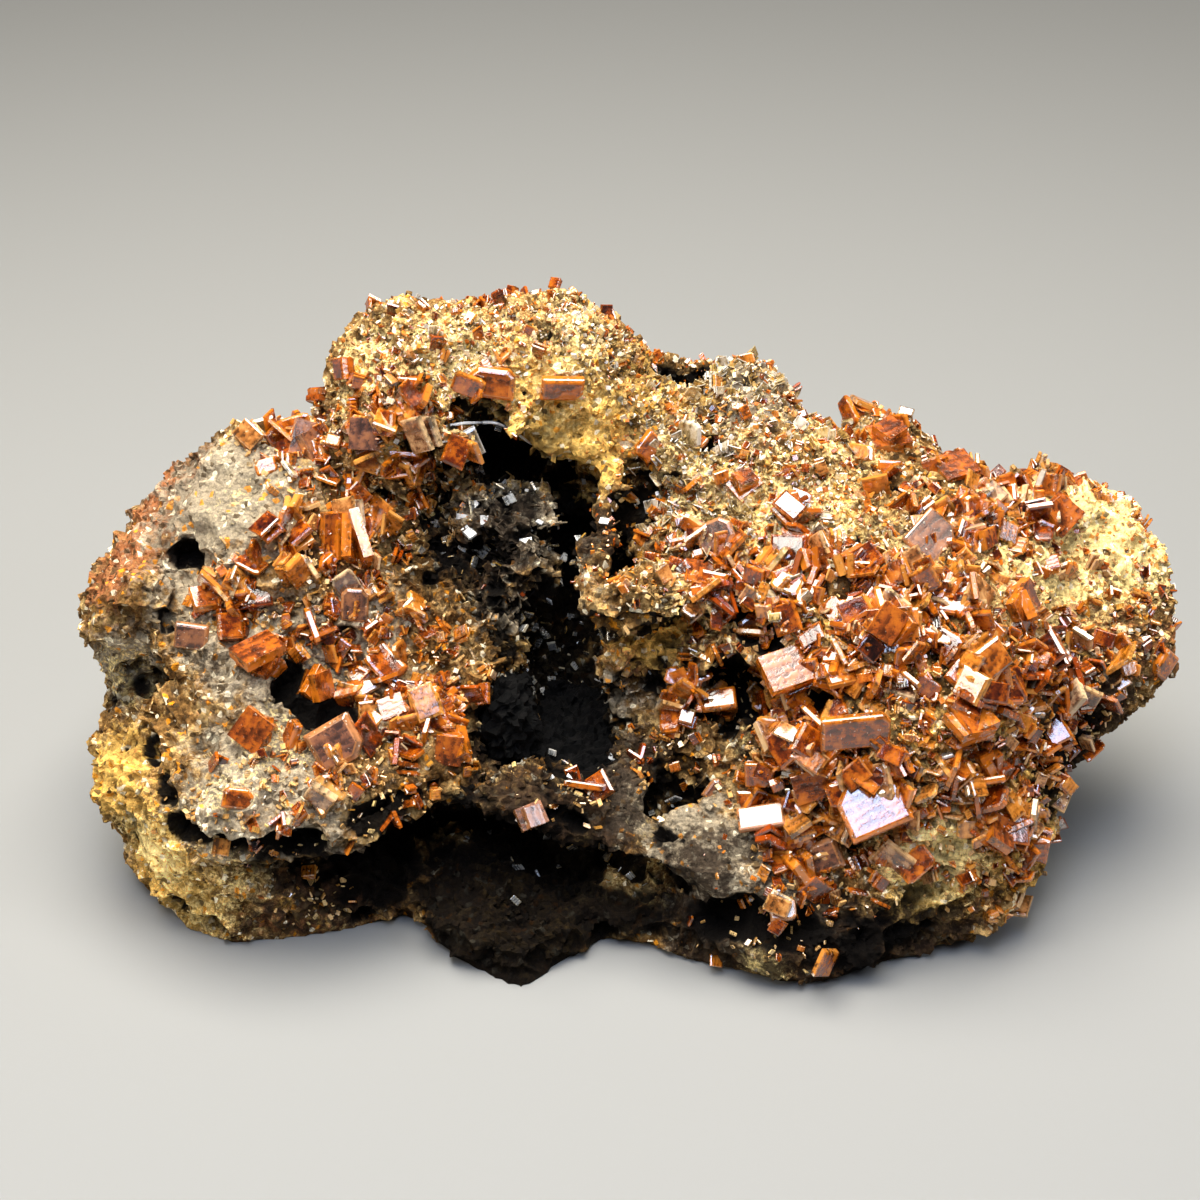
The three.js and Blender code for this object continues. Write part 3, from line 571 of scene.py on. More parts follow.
def clear_of_crystals(points, reach):
    """0 at a crystal's foot, rising to 1 at the reach from it."""
    all_points = np.concatenate([shells[node][0] for node in crystal_nodes])
    counts = np.cumsum([0] + [len(shells[node][0]) for node in crystal_nodes])
    all_faces = np.concatenate([shells[n][1] + counts[i] for i, n in enumerate(crystal_nodes)])
    tree = BVHTree.FromPolygons(all_points.tolist(), all_faces.tolist())
    away = np.full(len(points), reach * MM)
    for i, point in enumerate(points.tolist()):
        hit = tree.find_nearest(Vector(point), reach * MM)
        if hit[0] is not None:
            away[i] = hit[3]
    return ease(0.1, reach, away / MM)


def clear_of_pillars(points):
    """0 on the line of a pillar, rising to 1 two of its radii away."""
    clear = np.ones(len(points))
    for a, b, radius in pillar_parts():
        clear = np.minimum(clear, away_from(points, a, b) / (2 * radius * MM))
    return clear


def shelter(points, normals, sunk):
    """How closed in each point is: 0 in the open, 1 deep in a hollow. Sunk is how far it was pushed in."""
    turn = np.arange(RAYS) * math.pi * (3 - 5 ** 0.5)
    height = 1 - (np.arange(RAYS) + 0.5) * 2 / RAYS
    level = np.sqrt(1 - height ** 2)
    ways = [Vector(w) for w in np.stack([level * np.cos(turn), level * np.sin(turn), height], 1).tolist()]
    grazing = 0.15
    closed = np.zeros(len(points))
    for i, (point, normal, depth) in enumerate(zip(points.tolist(), normals.tolist(), sunk.tolist())):
        normal = Vector(normal)
        start = Vector(point) + normal * ((RAY_START + depth) * MM)
        open_ways = [way for way in ways if way.dot(normal) > grazing]
        hits = sum(1 for way in open_ways if rock_tree.ray_cast(start, way, RAY_REACH * MM)[0] is not None)
        closed[i] = hits / max(1, len(open_ways))
    return closed


def massive(points):
    """How massive the stone is at each point: 0 where it is spongy, 1 where it is a smooth sheet."""
    return np.clip(0.75 * patch(points, "grey") + 0.5 * patch(points, "straw"), 0, 0.85)


def relief(points, spongy):
    """How far the weathered surface stands out of the plain one at each point, in millimetres: crags every
    8 mm, lumps of 3.4 and 1.3 mm, patches of pores, and thin cell walls that are finer in the vug."""
    vug = np.clip(patch(points, "vug"), 0, 1)
    spongy = np.maximum(spongy, vug)
    height = 0.75 * (at_each(points, 8, crags) - 1.0)
    height += 0.6 * at_each(points, 3.4, lumps(3)) * (0.5 + 0.5 * spongy)
    height += 0.3 * at_each(points, 1.3, lumps(9)) * (0.3 + 0.7 * spongy)
    porous = ease(-0.3, 0.3, at_each(points, 9, lumps(41)))
    height -= 1.8 * ease(0.45, 0.1, at_each(points, 3.8, pores)) * spongy * porous
    height += 0.8 * (ease(0.2, 0.0, at_each(points, 2.8, walls)) - 0.3) * spongy
    height += 1.0 * (ease(0.3, 0.0, at_each(points, 2.0, walls)) - 0.4) * vug
    return height


def make_rock():
    """The gossan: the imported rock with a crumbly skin, pores, crags and clefts."""
    filler_points, filler_faces = mortar()
    pillar_points, pillar_faces = pillars()
    points = np.concatenate([rock_points, filler_points, pillar_points])
    faces = np.concatenate([rock_faces, filler_faces + len(rock_points),
                            pillar_faces + len(rock_points) + len(filler_points)])
    rock = voxel_skin("gossan_rock", points, faces, SKIN_VOXEL)
    points = corners_of(rock.data)
    deep = clefts(points)
    height = np.clip(relief(points, 1 - massive(points)), -2.2, 1.1) * (1 - 0.25 * deep) - deep
    height *= 0.1 + 0.9 * clear_of_crystals(points, 1.6)
    height *= np.where(clear_of_pillars(points) < 1, 0.3, 1.0)
    height *= ease(0.0, 1.2, points[:, 2] / MM)
    write_values(rock.data, "height", height)
    push(rock, height)
    thin_to(rock, SKIN_TRIANGLES)
    return rock


def mark_rock(rock):
    """Stores at each point of the rock how stained and how closed in it is, with the painted shade of
    hollows, undersides, black patches and clefts, and what grows on it.
    """
    points, normals = corners_of(rock.data), normals_of(rock.data)
    closed = shelter(points, normals, np.maximum(0, -read_values(rock.data, "height")))
    wide = at_each(points, 16, lumps(21))
    other = at_each(points, 11, lumps(33))
    chance = {
        "straw": 0.35 * ease(0.1, 0.7, wide),
        "ochre": 0.4 * ease(0.2, 0.8, other),
        "rust": 0.45 * ease(0.1, 0.8, -wide),
        "grey": 0.3 * ease(0.1, 0.7, -other),
        "umber": 0.3 * ease(0.3, 0.9, -wide - other),
    }
    values = {name: np.clip(patch(points, name) + more, 0, 1) for name, more in chance.items()}
    # Painted shade: the black patches and the depth of each cleft darken the stone where shade falls.
    black_and_cleft_shade = np.maximum(0.95 * patch(points, "black"), ease(0.5, 2.0, clefts(points)))
    # Painted shade on faces that look downward.
    overhung_shade = 0.4 * ease(0.1, -0.7, normals[:, 2])
    patches = {name: np.clip(patch(points, name), 0, 1)
               for name in ("weathered", "bleached", "heaps", "ridge", "boxwork", "vug")}
    # The painted shade of being closed in or overhung, weaker on weathered patches.
    closed_in_shade = (closed + overhung_shade) * (1 - 0.6 * patches["weathered"])

    up = points[:, 2] / MM
    lit = ease(-0.5, 0.15, normals[:, 2]) * ease(0.8, 0.45, closed) * ease(1.0, 2.5, up)
    bare = patch(points, "bare")
    growth = np.clip(patch(points, "druse") - bare, 0.0, 1) * lit
    patchy = ease(-0.5, 0.2, at_each(points, 7, lumps(5)))
    heaped = ease(-0.2, 0.25, at_each(points, 6.5, lumps(8)))
    upper = ease(-0.25, 0.2, normals[:, 2])
    sparkle = ease(0.5, 0.8, closed) * patches["vug"]
    values.update({
        # Closed: how closed in each point is, with all the painted shade above; the material turns it black.
        "closed": np.clip(np.maximum(closed_in_shade, black_and_cleft_shade), 0, 1),
        "bleached": patches["bleached"],
        "druse": growth * (0.12 + 0.88 * patchy),
        "heaps": patches["heaps"] * growth * upper * (0.1 + 0.9 * heaped),
        "sugar": patches["bleached"] * lit * np.clip(1.3 - bare, 0, 1),
        "ridge": patches["ridge"] * lit * (0.3 + 0.7 * heaped) * np.clip(1.2 - bare, 0, 1),
        "golden": growth * (1 - patches["bleached"]) * (1 - 0.6 * patches["heaps"]),
        "boxwork": patches["boxwork"] * ease(0.2, 1.2, up),
        "sheet": massive(points),
        "crumbs": (1 - 1.1 * massive(points)) * (1 - 0.3 * growth) * ease(0.5, 1.5, up),
        "sparkle": np.maximum(sparkle, patch(points, "glints") * ease(-0.2, 0.3, normals[:, 2])),
        "tone": np.full(len(points), 0.5),
    })
    for name, value in values.items():
        write_values(rock.data, name, value)


def make_lining():
    """The vug's dark crust of tiny plates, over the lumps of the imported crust."""
    crust = voxel_skin("vug_lining", *shells["vug_crust"], LINING_VOXEL)
    points = corners_of(crust.data)
    height = 0.5 * at_each(points, 2.4, lumps(13)) + 0.3 * at_each(points, 1.0, lumps(17))
    height += 0.7 * (ease(0.25, 0.0, at_each(points, 1.8, walls)) - 0.3)
    push(crust, np.clip(height, -0.8, 0.8))
    return crust


def make_thread():
    """The fibre across the arch: a closed tube that hangs a little slack."""
    places = np.array([on_box(place) for place in THREAD])
    along = np.linspace(0, len(places) - 1, THREAD_RINGS)
    line = np.stack([np.interp(along, np.arange(len(places)), places[:, axis]) for axis in range(3)], 1)
    smoothings = 6
    for _ in range(smoothings):
        line[1:-1] = (line[:-2] + 2 * line[1:-1] + line[2:]) / 4
    ahead = np.gradient(line, axis=0)
    side = np.cross(ahead, (0, 0, 1))
    side /= np.linalg.norm(side, axis=1)[:, None]
    up = np.cross(side, ahead)
    up /= np.linalg.norm(up, axis=1)[:, None]
    turn = np.arange(THREAD_SIDES) * math.tau / THREAD_SIDES
    ring = np.cos(turn)[None, :, None] * side[:, None] + np.sin(turn)[None, :, None] * up[:, None]
    points = (line[:, None] + THREAD_RADIUS * MM * ring).reshape(-1, 3)
    faces = []
    last = len(points) - THREAD_SIDES
    for first in range(0, last, THREAD_SIDES):
        for corner in range(THREAD_SIDES):
            a, b = first + corner, first + (corner + 1) % THREAD_SIDES
            faces += [(a, a + THREAD_SIDES, b + THREAD_SIDES), (a, b + THREAD_SIDES, b)]
    for corner in range(1, THREAD_SIDES - 1):
        faces += [(0, corner, corner + 1), (last, last + corner + 1, last + corner)]
    thread = piece_from("pale_thread", mesh_from("pale_thread", points, np.array(faces)))
    for name in ("tone", "rim"):
        write_values(thread.data, name, np.ones(len(points)))
    return thread


def make_bright_tablets(rock):
    """Small tablets in the vug, each a thin closed block, turned a little its own way, that stands on the
    first stone met near its place when coming in from the front."""
    begin, furthest, lean = 3 * MM, 9 * MM, 0.14
    stone_faces = [tuple(face.vertices) for face in rock.data.polygons]
    stone_tree = BVHTree.FromPolygons(corners_of(rock.data).tolist(), stone_faces)
    front = Vector(FRONT)
    corners = np.array([(x, y, z) for x in (-0.5, 0.5) for y in (-0.5, 0.5) for z in (-0.5, 0.5)])
    sides = np.array([(0, 1, 3, 2), (4, 6, 7, 5), (0, 4, 5, 1), (2, 3, 7, 6), (0, 2, 6, 4), (1, 5, 7, 3)])
    facing = Vector(FACING_LIGHT).to_track_quat("Z", "Y")
    points, faces = [], []
    for i, (place, size) in enumerate(BRIGHT):
        own_turn = Euler((lean * math.sin(2.4 * i), lean * math.cos(1.7 * i), 2.4 * i)).to_quaternion()
        turn = np.array((facing @ own_turn).to_matrix())
        shape = corners * (size, size * (0.5 + 0.12 * (i % 4)), 0.25 * size) * MM
        start = Vector(on_box(place)) + begin * front
        touch = stone_tree.ray_cast(start, -front, furthest)[0] or stone_tree.find_nearest(start)[0]
        faces.append(sides + len(corners) * i)
        points.append(np.array(touch + BEDDED * MM * front) + shape @ turn.T)
    points, faces = np.concatenate(points), np.concatenate(faces)
    tablets = piece_from("bright_tablets", mesh_from("bright_tablets", points, faces))
    # Tone and rim near 1 give them the palest colours all over, partly a painted glow.
    for name in ("tone", "rim"):
        write_values(tablets.data, name, np.full(len(points), 0.9))
    return tablets


# ---------------------------------------------------------------- geometry node trees


def new_tree(name, sockets):
    """An empty geometry node tree with a mesh input, the named inputs and a mesh output."""
    tree = bpy.data.node_groups.new(name, "GeometryNodeTree")
    tree.interface.new_socket(name="Rock", in_out="INPUT", socket_type="NodeSocketGeometry")
    for title, kind in sockets.items():
        tree.interface.new_socket(name=title, in_out="INPUT", socket_type="NodeSocket" + kind)
    tree.interface.new_socket(name="Grown", in_out="OUTPUT", socket_type="NodeSocketGeometry")
    return tree, tree.nodes.new("NodeGroupInput").outputs, tree.nodes.new("NodeGroupOutput").inputs


def plate(tree, clipped, thickness, bevelled):
    """Nodes for one square tablet, one size across, its corners cut off if it is clipped.

    Its "rim" is 1 round the edge and 0 on its flat sides."""
    radius, lip_share, cap_share = 0.7, 0.2, 0.84
    body_share = 1 - 2 * lip_share if bevelled else 1.0
    depth = add(tree, "ShaderNodeMath", {0: thickness, 1: body_share}, operation="MULTIPLY")
    prism = add(tree, "GeometryNodeMeshCylinder",
                {"Vertices": 8 if clipped else 4, "Radius": radius, "Depth": depth}, fill_type="NGON")
    tablet = add(tree, "GeometryNodeTransform",
                 {"Geometry": prism, "Rotation": (0, 0, math.pi / (8 if clipped else 4))})
    if clipped:
        # An even octagon's corners slide outward until its sloping sides are short.
        slide, share = 0.28, 0.34
        corner = add(tree, "GeometryNodeInputPosition")
        way = add(tree, "ShaderNodeVectorMath", {0: corner}, operation="SIGN")
        outward = add(tree, "ShaderNodeVectorMath", {0: way, 1: (slide, slide, 0)}, operation="MULTIPLY")
        squared = add(tree, "ShaderNodeVectorMath",
                      {0: corner, 1: (share, share, 1), 2: outward}, operation="MULTIPLY_ADD")
        tablet = add(tree, "GeometryNodeSetPosition", {"Geometry": tablet, "Position": squared})
    for end, up in (("Top", lip_share), ("Bottom", -lip_share)) if bevelled else ():
        rise = add(tree, "ShaderNodeMath", {0: thickness, 1: up}, operation="MULTIPLY")
        way = add(tree, "ShaderNodeCombineXYZ", {"Z": rise})
        lip = add(tree, "GeometryNodeExtrudeMesh",
                  {"Mesh": tablet, "Selection": prism.outputs[end], "Offset": way, "Offset Scale": 1.0})
        tablet = add(tree, "GeometryNodeScaleElements",
                     {"Geometry": lip.outputs["Mesh"], "Selection": lip.outputs["Top"], "Scale": cap_share})
    rim_start, rim_end = 0.45, 0.49
    point = add(tree, "GeometryNodeInputPosition")
    parts = add(tree, "ShaderNodeSeparateXYZ", {0: point})
    across = add(tree, "ShaderNodeMath", {0: parts}, operation="ABSOLUTE")
    along = add(tree, "ShaderNodeMath", {0: parts.outputs[1]}, operation="ABSOLUTE")
    out = add(tree, "ShaderNodeMath", {0: across, 1: along}, operation="MAXIMUM")
    rim = add(tree, "ShaderNodeMapRange",
              {"Value": out, "From Min": rim_start, "From Max": rim_end, "To Max": 1.0 if bevelled else 0.5})
    rimmed = add(tree, "GeometryNodeStoreNamedAttribute", {"Geometry": tablet, "Name": "rim", "Value": rim})
    usual_size = 3.0
    grown = add(tree, "ShaderNodeMath", {0: parts.outputs[1], 1: usual_size}, operation="MULTIPLY")
    return add(tree, "GeometryNodeStoreNamedAttribute",
               {"Geometry": rimmed, "Name": "growth", "Value": grown})


def sheaf(tree, given, count, clipped, bevelled):
    """Nodes for a few tablets grown together nearly parallel, one size across, as one instance."""
    spacing, sideways, forwards = 1.15, 0.18, 0.1
    tablet = plate(tree, clipped, given["Thickness"], bevelled)
    most = add(tree, "ShaderNodeMath", {0: float(count), 1: given["Together"]}, operation="MINIMUM")
    step = add(tree, "ShaderNodeMath", {0: given["Thickness"], 1: spacing}, operation="MULTIPLY")
    back = add(tree, "ShaderNodeMath", {0: step, 1: -0.5 * (count - 1)}, operation="MULTIPLY")
    start = add(tree, "ShaderNodeCombineXYZ", {"Z": back})
    onward = add(tree, "ShaderNodeCombineXYZ", {"X": sideways, "Y": forwards, "Z": step})
    row = add(tree, "GeometryNodeMeshLine",
              {"Count": most, "Start Location": start, "Offset": onward}, mode="OFFSET")
    lean = add(tree, "FunctionNodeRandomValue",
               {"Min": (-1, -1, -0.4), "Max": (1, 1, 0.4), "Seed": 30 + 7 * count + clipped},
               data_type="FLOAT_VECTOR")
    leaning = add(tree, "ShaderNodeVectorMath", {0: lean, "Scale": given["Fan"]}, operation="SCALE")
    stature = add(tree, "FunctionNodeRandomValue",
                  {"Min": (0.7, 0.65, 0.7), "Max": (1.0, 1.0, 1.4), "Seed": 50 + 7 * count + clipped},
                  data_type="FLOAT_VECTOR")
    plates = add(tree, "GeometryNodeInstanceOnPoints",
                 {"Points": row, "Instance": tablet, "Rotation": leaning, "Scale": stature})
    whole = add(tree, "GeometryNodeRealizeInstances", {"Geometry": plates})
    return add(tree, "GeometryNodeGeometryToInstance", {0: whole}).outputs[0]


def seeded(tree, given):
    """Nodes that scatter points on the ground, as thickly as the attribute named Where says."""
    where = add(tree, "GeometryNodeInputNamedAttribute", {"Name": given["Where"]})
    density = add(tree, "ShaderNodeMath", {0: where, 1: given["Per square metre"]}, operation="MULTIPLY")
    return add(tree, "GeometryNodeDistributePointsOnFaces",
               {"Mesh": given["Rock"], "Density": density, "Seed": given["Seed"]},
               distribute_method="RANDOM")


def toned_and_finished(tree, instances, kinship, material):
    """Nodes that make instances real, each with its own tone from 0 to 1, and give the material.

    Kinship is how much of the tone a whole instance shares; the rest is each island's own."""
    shared = add(tree, "FunctionNodeRandomValue", {"Min": 0.0, "Max": 1.0, "Seed": 14})
    marked = add(tree, "GeometryNodeStoreNamedAttribute",
                 {"Geometry": instances, "Name": "tone", "Value": shared}, domain="INSTANCE")
    real = add(tree, "GeometryNodeRealizeInstances", {"Geometry": marked})
    family = add(tree, "GeometryNodeInputNamedAttribute", {"Name": "tone"})
    island = add(tree, "GeometryNodeInputMeshIsland")
    own = add(tree, "FunctionNodeRandomValue",
              {"Min": 0.0, "Max": 1.0, "ID": island.outputs["Island Index"], "Seed": 15})
    tone = add(tree, "ShaderNodeMix", {"Factor": kinship, "A": own, "B": family})
    toned = add(tree, "GeometryNodeStoreNamedAttribute", {"Geometry": real, "Name": "tone", "Value": tone})
    return add(tree, "GeometryNodeSetMaterial", {"Geometry": toned, "Material": material})


def tablet_tree(bevelled):
    """Square tablets scattered on a surface in sheaves, with neighbouring sheaves nearly parallel.

    Thickness and Lift are shares of a tablet's size. Scatter turns each sheaf from its group's heading,
    Upright stands it on edge, Fan spreads its tablets, and Together is the most tablets it may have."""
    tree, given, result = new_tree("Grow bevelled tablets" if bevelled else "Grow plain plates", {
        "Where": "String", "Per square metre": "Float", "Smallest": "Float", "Largest": "Float",
        "Thickness": "Float", "Group size": "Float", "Scatter": "Float", "Upright": "Float",
        "Lift": "Float", "Fan": "Float", "Together": "Float", "Seed": "Int", "Material": "Material"})
    seeds = seeded(tree, given)
    place = add(tree, "GeometryNodeInputPosition")
    per_metre = add(tree, "ShaderNodeMath", {0: 1.0, 1: given["Group size"]}, operation="DIVIDE")
    group = add(tree, "ShaderNodeTexVoronoi", {"Vector": place, "Scale": per_metre, "Randomness": 1.0})
    heading = add(tree, "ShaderNodeVectorMath",
                  {0: group.outputs["Color"], 1: (0.5, 0.5, 0.5)}, operation="SUBTRACT")
    stray = add(tree, "FunctionNodeRandomValue",
                {"Min": (-1, -1, -1), "Max": (1, 1, 1), "Seed": given["Seed"]}, data_type="FLOAT_VECTOR")
    strayed = add(tree, "ShaderNodeVectorMath", {0: stray, "Scale": given["Scatter"]}, operation="SCALE")
    facing = add(tree, "ShaderNodeVectorMath", {0: heading, 1: strayed}, operation="ADD")
    out = seeds.outputs["Normal"]
    flatness = add(tree, "ShaderNodeVectorMath", {0: facing, 1: out}, operation="DOT_PRODUCT")
    share = add(tree, "ShaderNodeMath", {0: flatness, 1: given["Upright"]}, operation="MULTIPLY")
    lying = add(tree, "ShaderNodeVectorMath", {0: out, "Scale": share}, operation="SCALE")
    plate_normal = add(tree, "ShaderNodeVectorMath", {0: facing, 1: lying}, operation="SUBTRACT")
    turned = add(tree, "FunctionNodeAlignRotationToVector", {"Vector": plate_normal}, axis="Z")
    quarter_turn = 1.6
    angle = add(tree, "FunctionNodeRandomValue", {"Min": 0.0, "Max": quarter_turn, "Seed": given["Seed"]})
    spin = add(tree, "FunctionNodeAxisAngleToRotation", {"Axis": (0, 0, 1), "Angle": angle})
    rotation = add(tree, "FunctionNodeRotateRotation",
                   {"Rotation": turned, "Rotate By": spin}, rotation_space="LOCAL")

    towards_small, narrowest = 1.6, 0.55
    draw = add(tree, "FunctionNodeRandomValue", {"Min": 0.0, "Max": 1.0, "Seed": 11})
    mostly_small = add(tree, "ShaderNodeMath", {0: draw, 1: towards_small}, operation="POWER")
    edge = add(tree, "ShaderNodeMapRange",
               {"Value": mostly_small, "To Min": given["Smallest"], "To Max": given["Largest"]})
    narrow = add(tree, "FunctionNodeRandomValue", {"Min": narrowest, "Max": 1.0, "Seed": 13})
    across = add(tree, "ShaderNodeMath", {0: edge, 1: narrow}, operation="MULTIPLY")
    size = add(tree, "ShaderNodeCombineXYZ", {"X": across, "Y": edge, "Z": edge})
    rise = add(tree, "ShaderNodeMath", {0: edge, 1: given["Lift"]}, operation="MULTIPLY")
    offset = add(tree, "ShaderNodeVectorMath", {0: out, "Scale": rise}, operation="SCALE")
    raised = add(tree, "GeometryNodeSetPosition", {"Geometry": seeds.outputs["Points"], "Offset": offset})
    kinds = add(tree, "GeometryNodeJoinGeometry")
    for count, clipped in ((1, False), (2, False), (3, False), (2, True), (4, False), (1, True), (5, False)):
        tree.links.new(sheaf(tree, given, count, clipped, bevelled), kinds.inputs[0])
    crystals = add(tree, "GeometryNodeInstanceOnPoints",
                   {"Points": raised, "Instance": kinds, "Pick Instance": True,
                    "Rotation": rotation, "Scale": size})
    finished = toned_and_finished(tree, crystals, kinship=0.7, material=given["Material"])
    tree.links.new(finished.outputs[0], result[0])
    return tree


def crumb_tree():
    """Angular crumbs strewn on a surface, each taking the stains of the stone under it."""
    tree, given, result = new_tree("Strew crumbs", {
        "Where": "String", "Per square metre": "Float", "Smallest": "Float", "Largest": "Float",
        "Seed": "Int", "Material": "Material"})
    seeds = seeded(tree, given)
    whole_turn = 6.28
    turn = add(tree, "FunctionNodeRandomValue",
               {"Min": (0, 0, 0), "Max": (whole_turn,) * 3, "Seed": 21}, data_type="FLOAT_VECTOR")
    shape = add(tree, "FunctionNodeRandomValue",
                {"Min": (0.5, 0.5, 0.3), "Max": (1, 1, 1), "Seed": 22}, data_type="FLOAT_VECTOR")
    across = add(tree, "FunctionNodeRandomValue",
                 {"Min": given["Smallest"], "Max": given["Largest"], "Seed": 23})
    size = add(tree, "ShaderNodeVectorMath", {0: shape, "Scale": across}, operation="SCALE")
    grain = add(tree, "GeometryNodeMeshCube", {"Size": (1.0, 1.0, 1.0)})
    crumbs = add(tree, "GeometryNodeInstanceOnPoints",
                 {"Points": seeds.outputs["Points"], "Instance": grain.outputs["Mesh"],
                  "Rotation": turn, "Scale": size})
    finished = toned_and_finished(tree, crumbs, kinship=1.0, material=given["Material"])
    tree.links.new(finished.outputs[0], result[0])
    return tree


def grow(name, tree, ground, **inputs):
    """A new piece grown by a tree on the ground mesh, as a plain mesh. Lengths are in millimetres."""
    piece = piece_from(name, ground.data.copy())
    modifier = piece.modifiers.new("grow", "NODES")
    modifier.node_group = tree
    for item in tree.interface.items_tree:
        key = item.name.replace(" ", "_").lower()
        if item.in_out == "INPUT" and key in inputs:
            is_length = key in ("smallest", "largest", "group_size")
            modifier[item.identifier] = inputs[key] * MM if is_length else inputs[key]
    return settle(piece)


# ---------------------------------------------------------------- materials


def new_material(name):
    """A material and its empty node tree."""
    material = bpy.data.materials.new(name)
    material.use_nodes = True
    material.node_tree.nodes.clear()
    return material, material.node_tree


def gossan():
    """Weathered iron oxide, earthy and crumbly: dull, rough, stained in patches, black in its hollows, partly
    from a manganese lining and partly as painted shade.
    """
    material, tree = new_material("gossan_weathered_iron_oxide")
    where = add(tree, "ShaderNodeTexCoord").outputs["Object"]
    marks = {}
    for name in ("rust", "ochre", "grey", "straw", "heaps", "umber", "tone", "sheet", "height", "closed"):
        marks[name] = add(tree, "ShaderNodeAttribute", attribute_name=name).outputs["Fac"]

    # A noise for each purpose: the size of its features in millimetres, its detail and its roughness.
    noises = {}
    for name, size, detail, rough in (
            ("mottling", 2.2, 5.0, 0.7), ("rust", 0.9, 4.0, 0.75), ("ochre", 0.8, 4.0, 0.75),
            ("grey", 1.8, 4.0, 0.75), ("straw", 0.7, 4.0, 0.75), ("heaps", 0.8, 4.0, 0.75),
            ("umber", 1.2, 4.0, 0.75), ("specks", 0.35, 3.0, 0.8), ("hollows", 1.4, 4.0, 0.7),
            ("grit", 0.45, 5.0, 0.75)):
        noises[name] = add(tree, "ShaderNodeTexNoise", {
            "Vector": where, "Scale": 1 / (size * MM), "Detail": detail, "Roughness": rough})

    # Stains of iron oxides and clay: each patch thins out in grains of its own size. The dark stain under the
    # heaped crystals is painted shade, and the dark brown stain of low and hollow places is partly painted
    # shade.
    stains = {}
    for name, shade in (("rust", "945c38"), ("ochre", "e0b25c"), ("grey", "9a8d76"), ("straw", "f4d890"),
                        ("heaps", "2e1c0c"), ("umber", "2c2119")):
        broken = add(tree, "ShaderNodeMath", {0: noises[name], 1: -0.5}, operation="ADD")
        spread = add(tree, "ShaderNodeMath", {0: broken, 1: 1.9, 2: marks[name]}, operation="MULTIPLY_ADD")
        amount = add(tree, "ShaderNodeMapRange",
                     {"Value": spread, "From Min": 0.25, "From Max": 0.75, "To Max": 0.92},
                     interpolation_type="SMOOTHSTEP")
        stains[name] = (colour(shade), amount, "MIX")

    # Each grain, 0.5 mm, is of its own shade; a few are of cream, orange or black minerals.
    cells = add(tree, "ShaderNodeTexVoronoi", {"Vector": where, "Scale": 1 / (0.5 * MM), "Randomness": 1.0})
    chance = add(tree, "ShaderNodeSeparateColor", {0: cells.outputs["Color"]}).outputs
    odd_grains = []
    for channel, low, shade in ((1, 0.94, "f0e2c0"), (2, 0.96, "d98a1c")):
        odd = add(tree, "ShaderNodeMapRange",
                  {"Value": chance[channel], "From Min": low, "From Max": low + 0.01, "To Max": 0.8},
                  interpolation_type="SMOOTHSTEP")
        odd_grains.append((colour(shade), odd, "MIX"))
    mixed = add(tree, "ShaderNodeMath", {0: chance[0], 1: marks["tone"]}, operation="ADD")
    own_shade = add(tree, "ShaderNodeMapRange",
                    {"Value": mixed, "From Min": 0.3, "From Max": 1.7, "To Min": 0.5, "To Max": 1.5})
    speckled = add(tree, "ShaderNodeMapRange",
                   {"Value": marks["sheet"], "From Min": 0.1, "From Max": 0.8, "To Min": 1.0, "To Max": 0.2},
                   interpolation_type="SMOOTHSTEP")
    specks = add(tree, "ShaderNodeMapRange",
                 {"Value": noises["specks"], "From Min": 0.3, "From Max": 0.7, "To Min": 0.5, "To Max": 1.45})
    rarely = add(tree, "ShaderNodeMath", {0: marks["sheet"], 1: -0.09, 2: 0.09}, operation="MULTIPLY_ADD")
    black = add(tree, "ShaderNodeMath", {0: chance[1], 1: rarely}, operation="LESS_THAN")
    darkened = add(tree, "ShaderNodeMath", {0: black, 1: 0.8}, operation="MULTIPLY")

    # Painted light and shade: what stands out is lighter and the pits between are darker, by the height of
    # the skin.
    height_light_and_shade = add(tree, "ShaderNodeMapRange", {
        "Value": marks["height"], "From Min": -1.1, "From Max": 0.6, "To Min": 0.45, "To Max": 1.4})

    # Black in every hollow, closed-in place, underside and cleft: partly a lining of black manganese oxide,
    # partly painted shade.
    ragged = add(tree, "ShaderNodeMath", {0: noises["hollows"], 1: 0.6, 2: marks["closed"]},
                 operation="MULTIPLY_ADD")
    sunken = add(tree, "ShaderNodeMath", {0: marks["height"], 1: -0.22, 2: ragged}, operation="MULTIPLY_ADD")
    lining_and_shade = add(tree, "ShaderNodeMapRange",
                 {"Value": sunken, "From Min": 0.68, "From Max": 1.04, "To Max": 0.98},
                 interpolation_type="SMOOTHSTEP")

    # Under them all is brown goethite in three depths of colour, mottled every 2 mm. The dark stains, which
    # are partly painted shade, lie over the odd grains too.
    body = add(tree, "ShaderNodeValToRGB", {"Fac": noises["mottling"]},
               stops=[(0.34, "33210f"), (0.5, "7c5a30"), (0.66, "c8a66c")])
    layers = [stains["rust"], stains["ochre"], stains["grey"], stains["straw"], *odd_grains,
              stains["heaps"], stains["umber"], (own_shade, speckled, "MULTIPLY"),
              (specks, 1.0, "MULTIPLY"), (colour("4a3a26"), darkened, "MIX"), (height_light_and_shade, 1.0, "MULTIPLY"),
              (colour("0c0907"), lining_and_shade, "MIX")]
    for above, amount, blending in layers:
        body = add(tree, "ShaderNodeMix", {"Factor": amount, "A": body, "B": above},
                   data_type="RGBA", blend_type=blending)

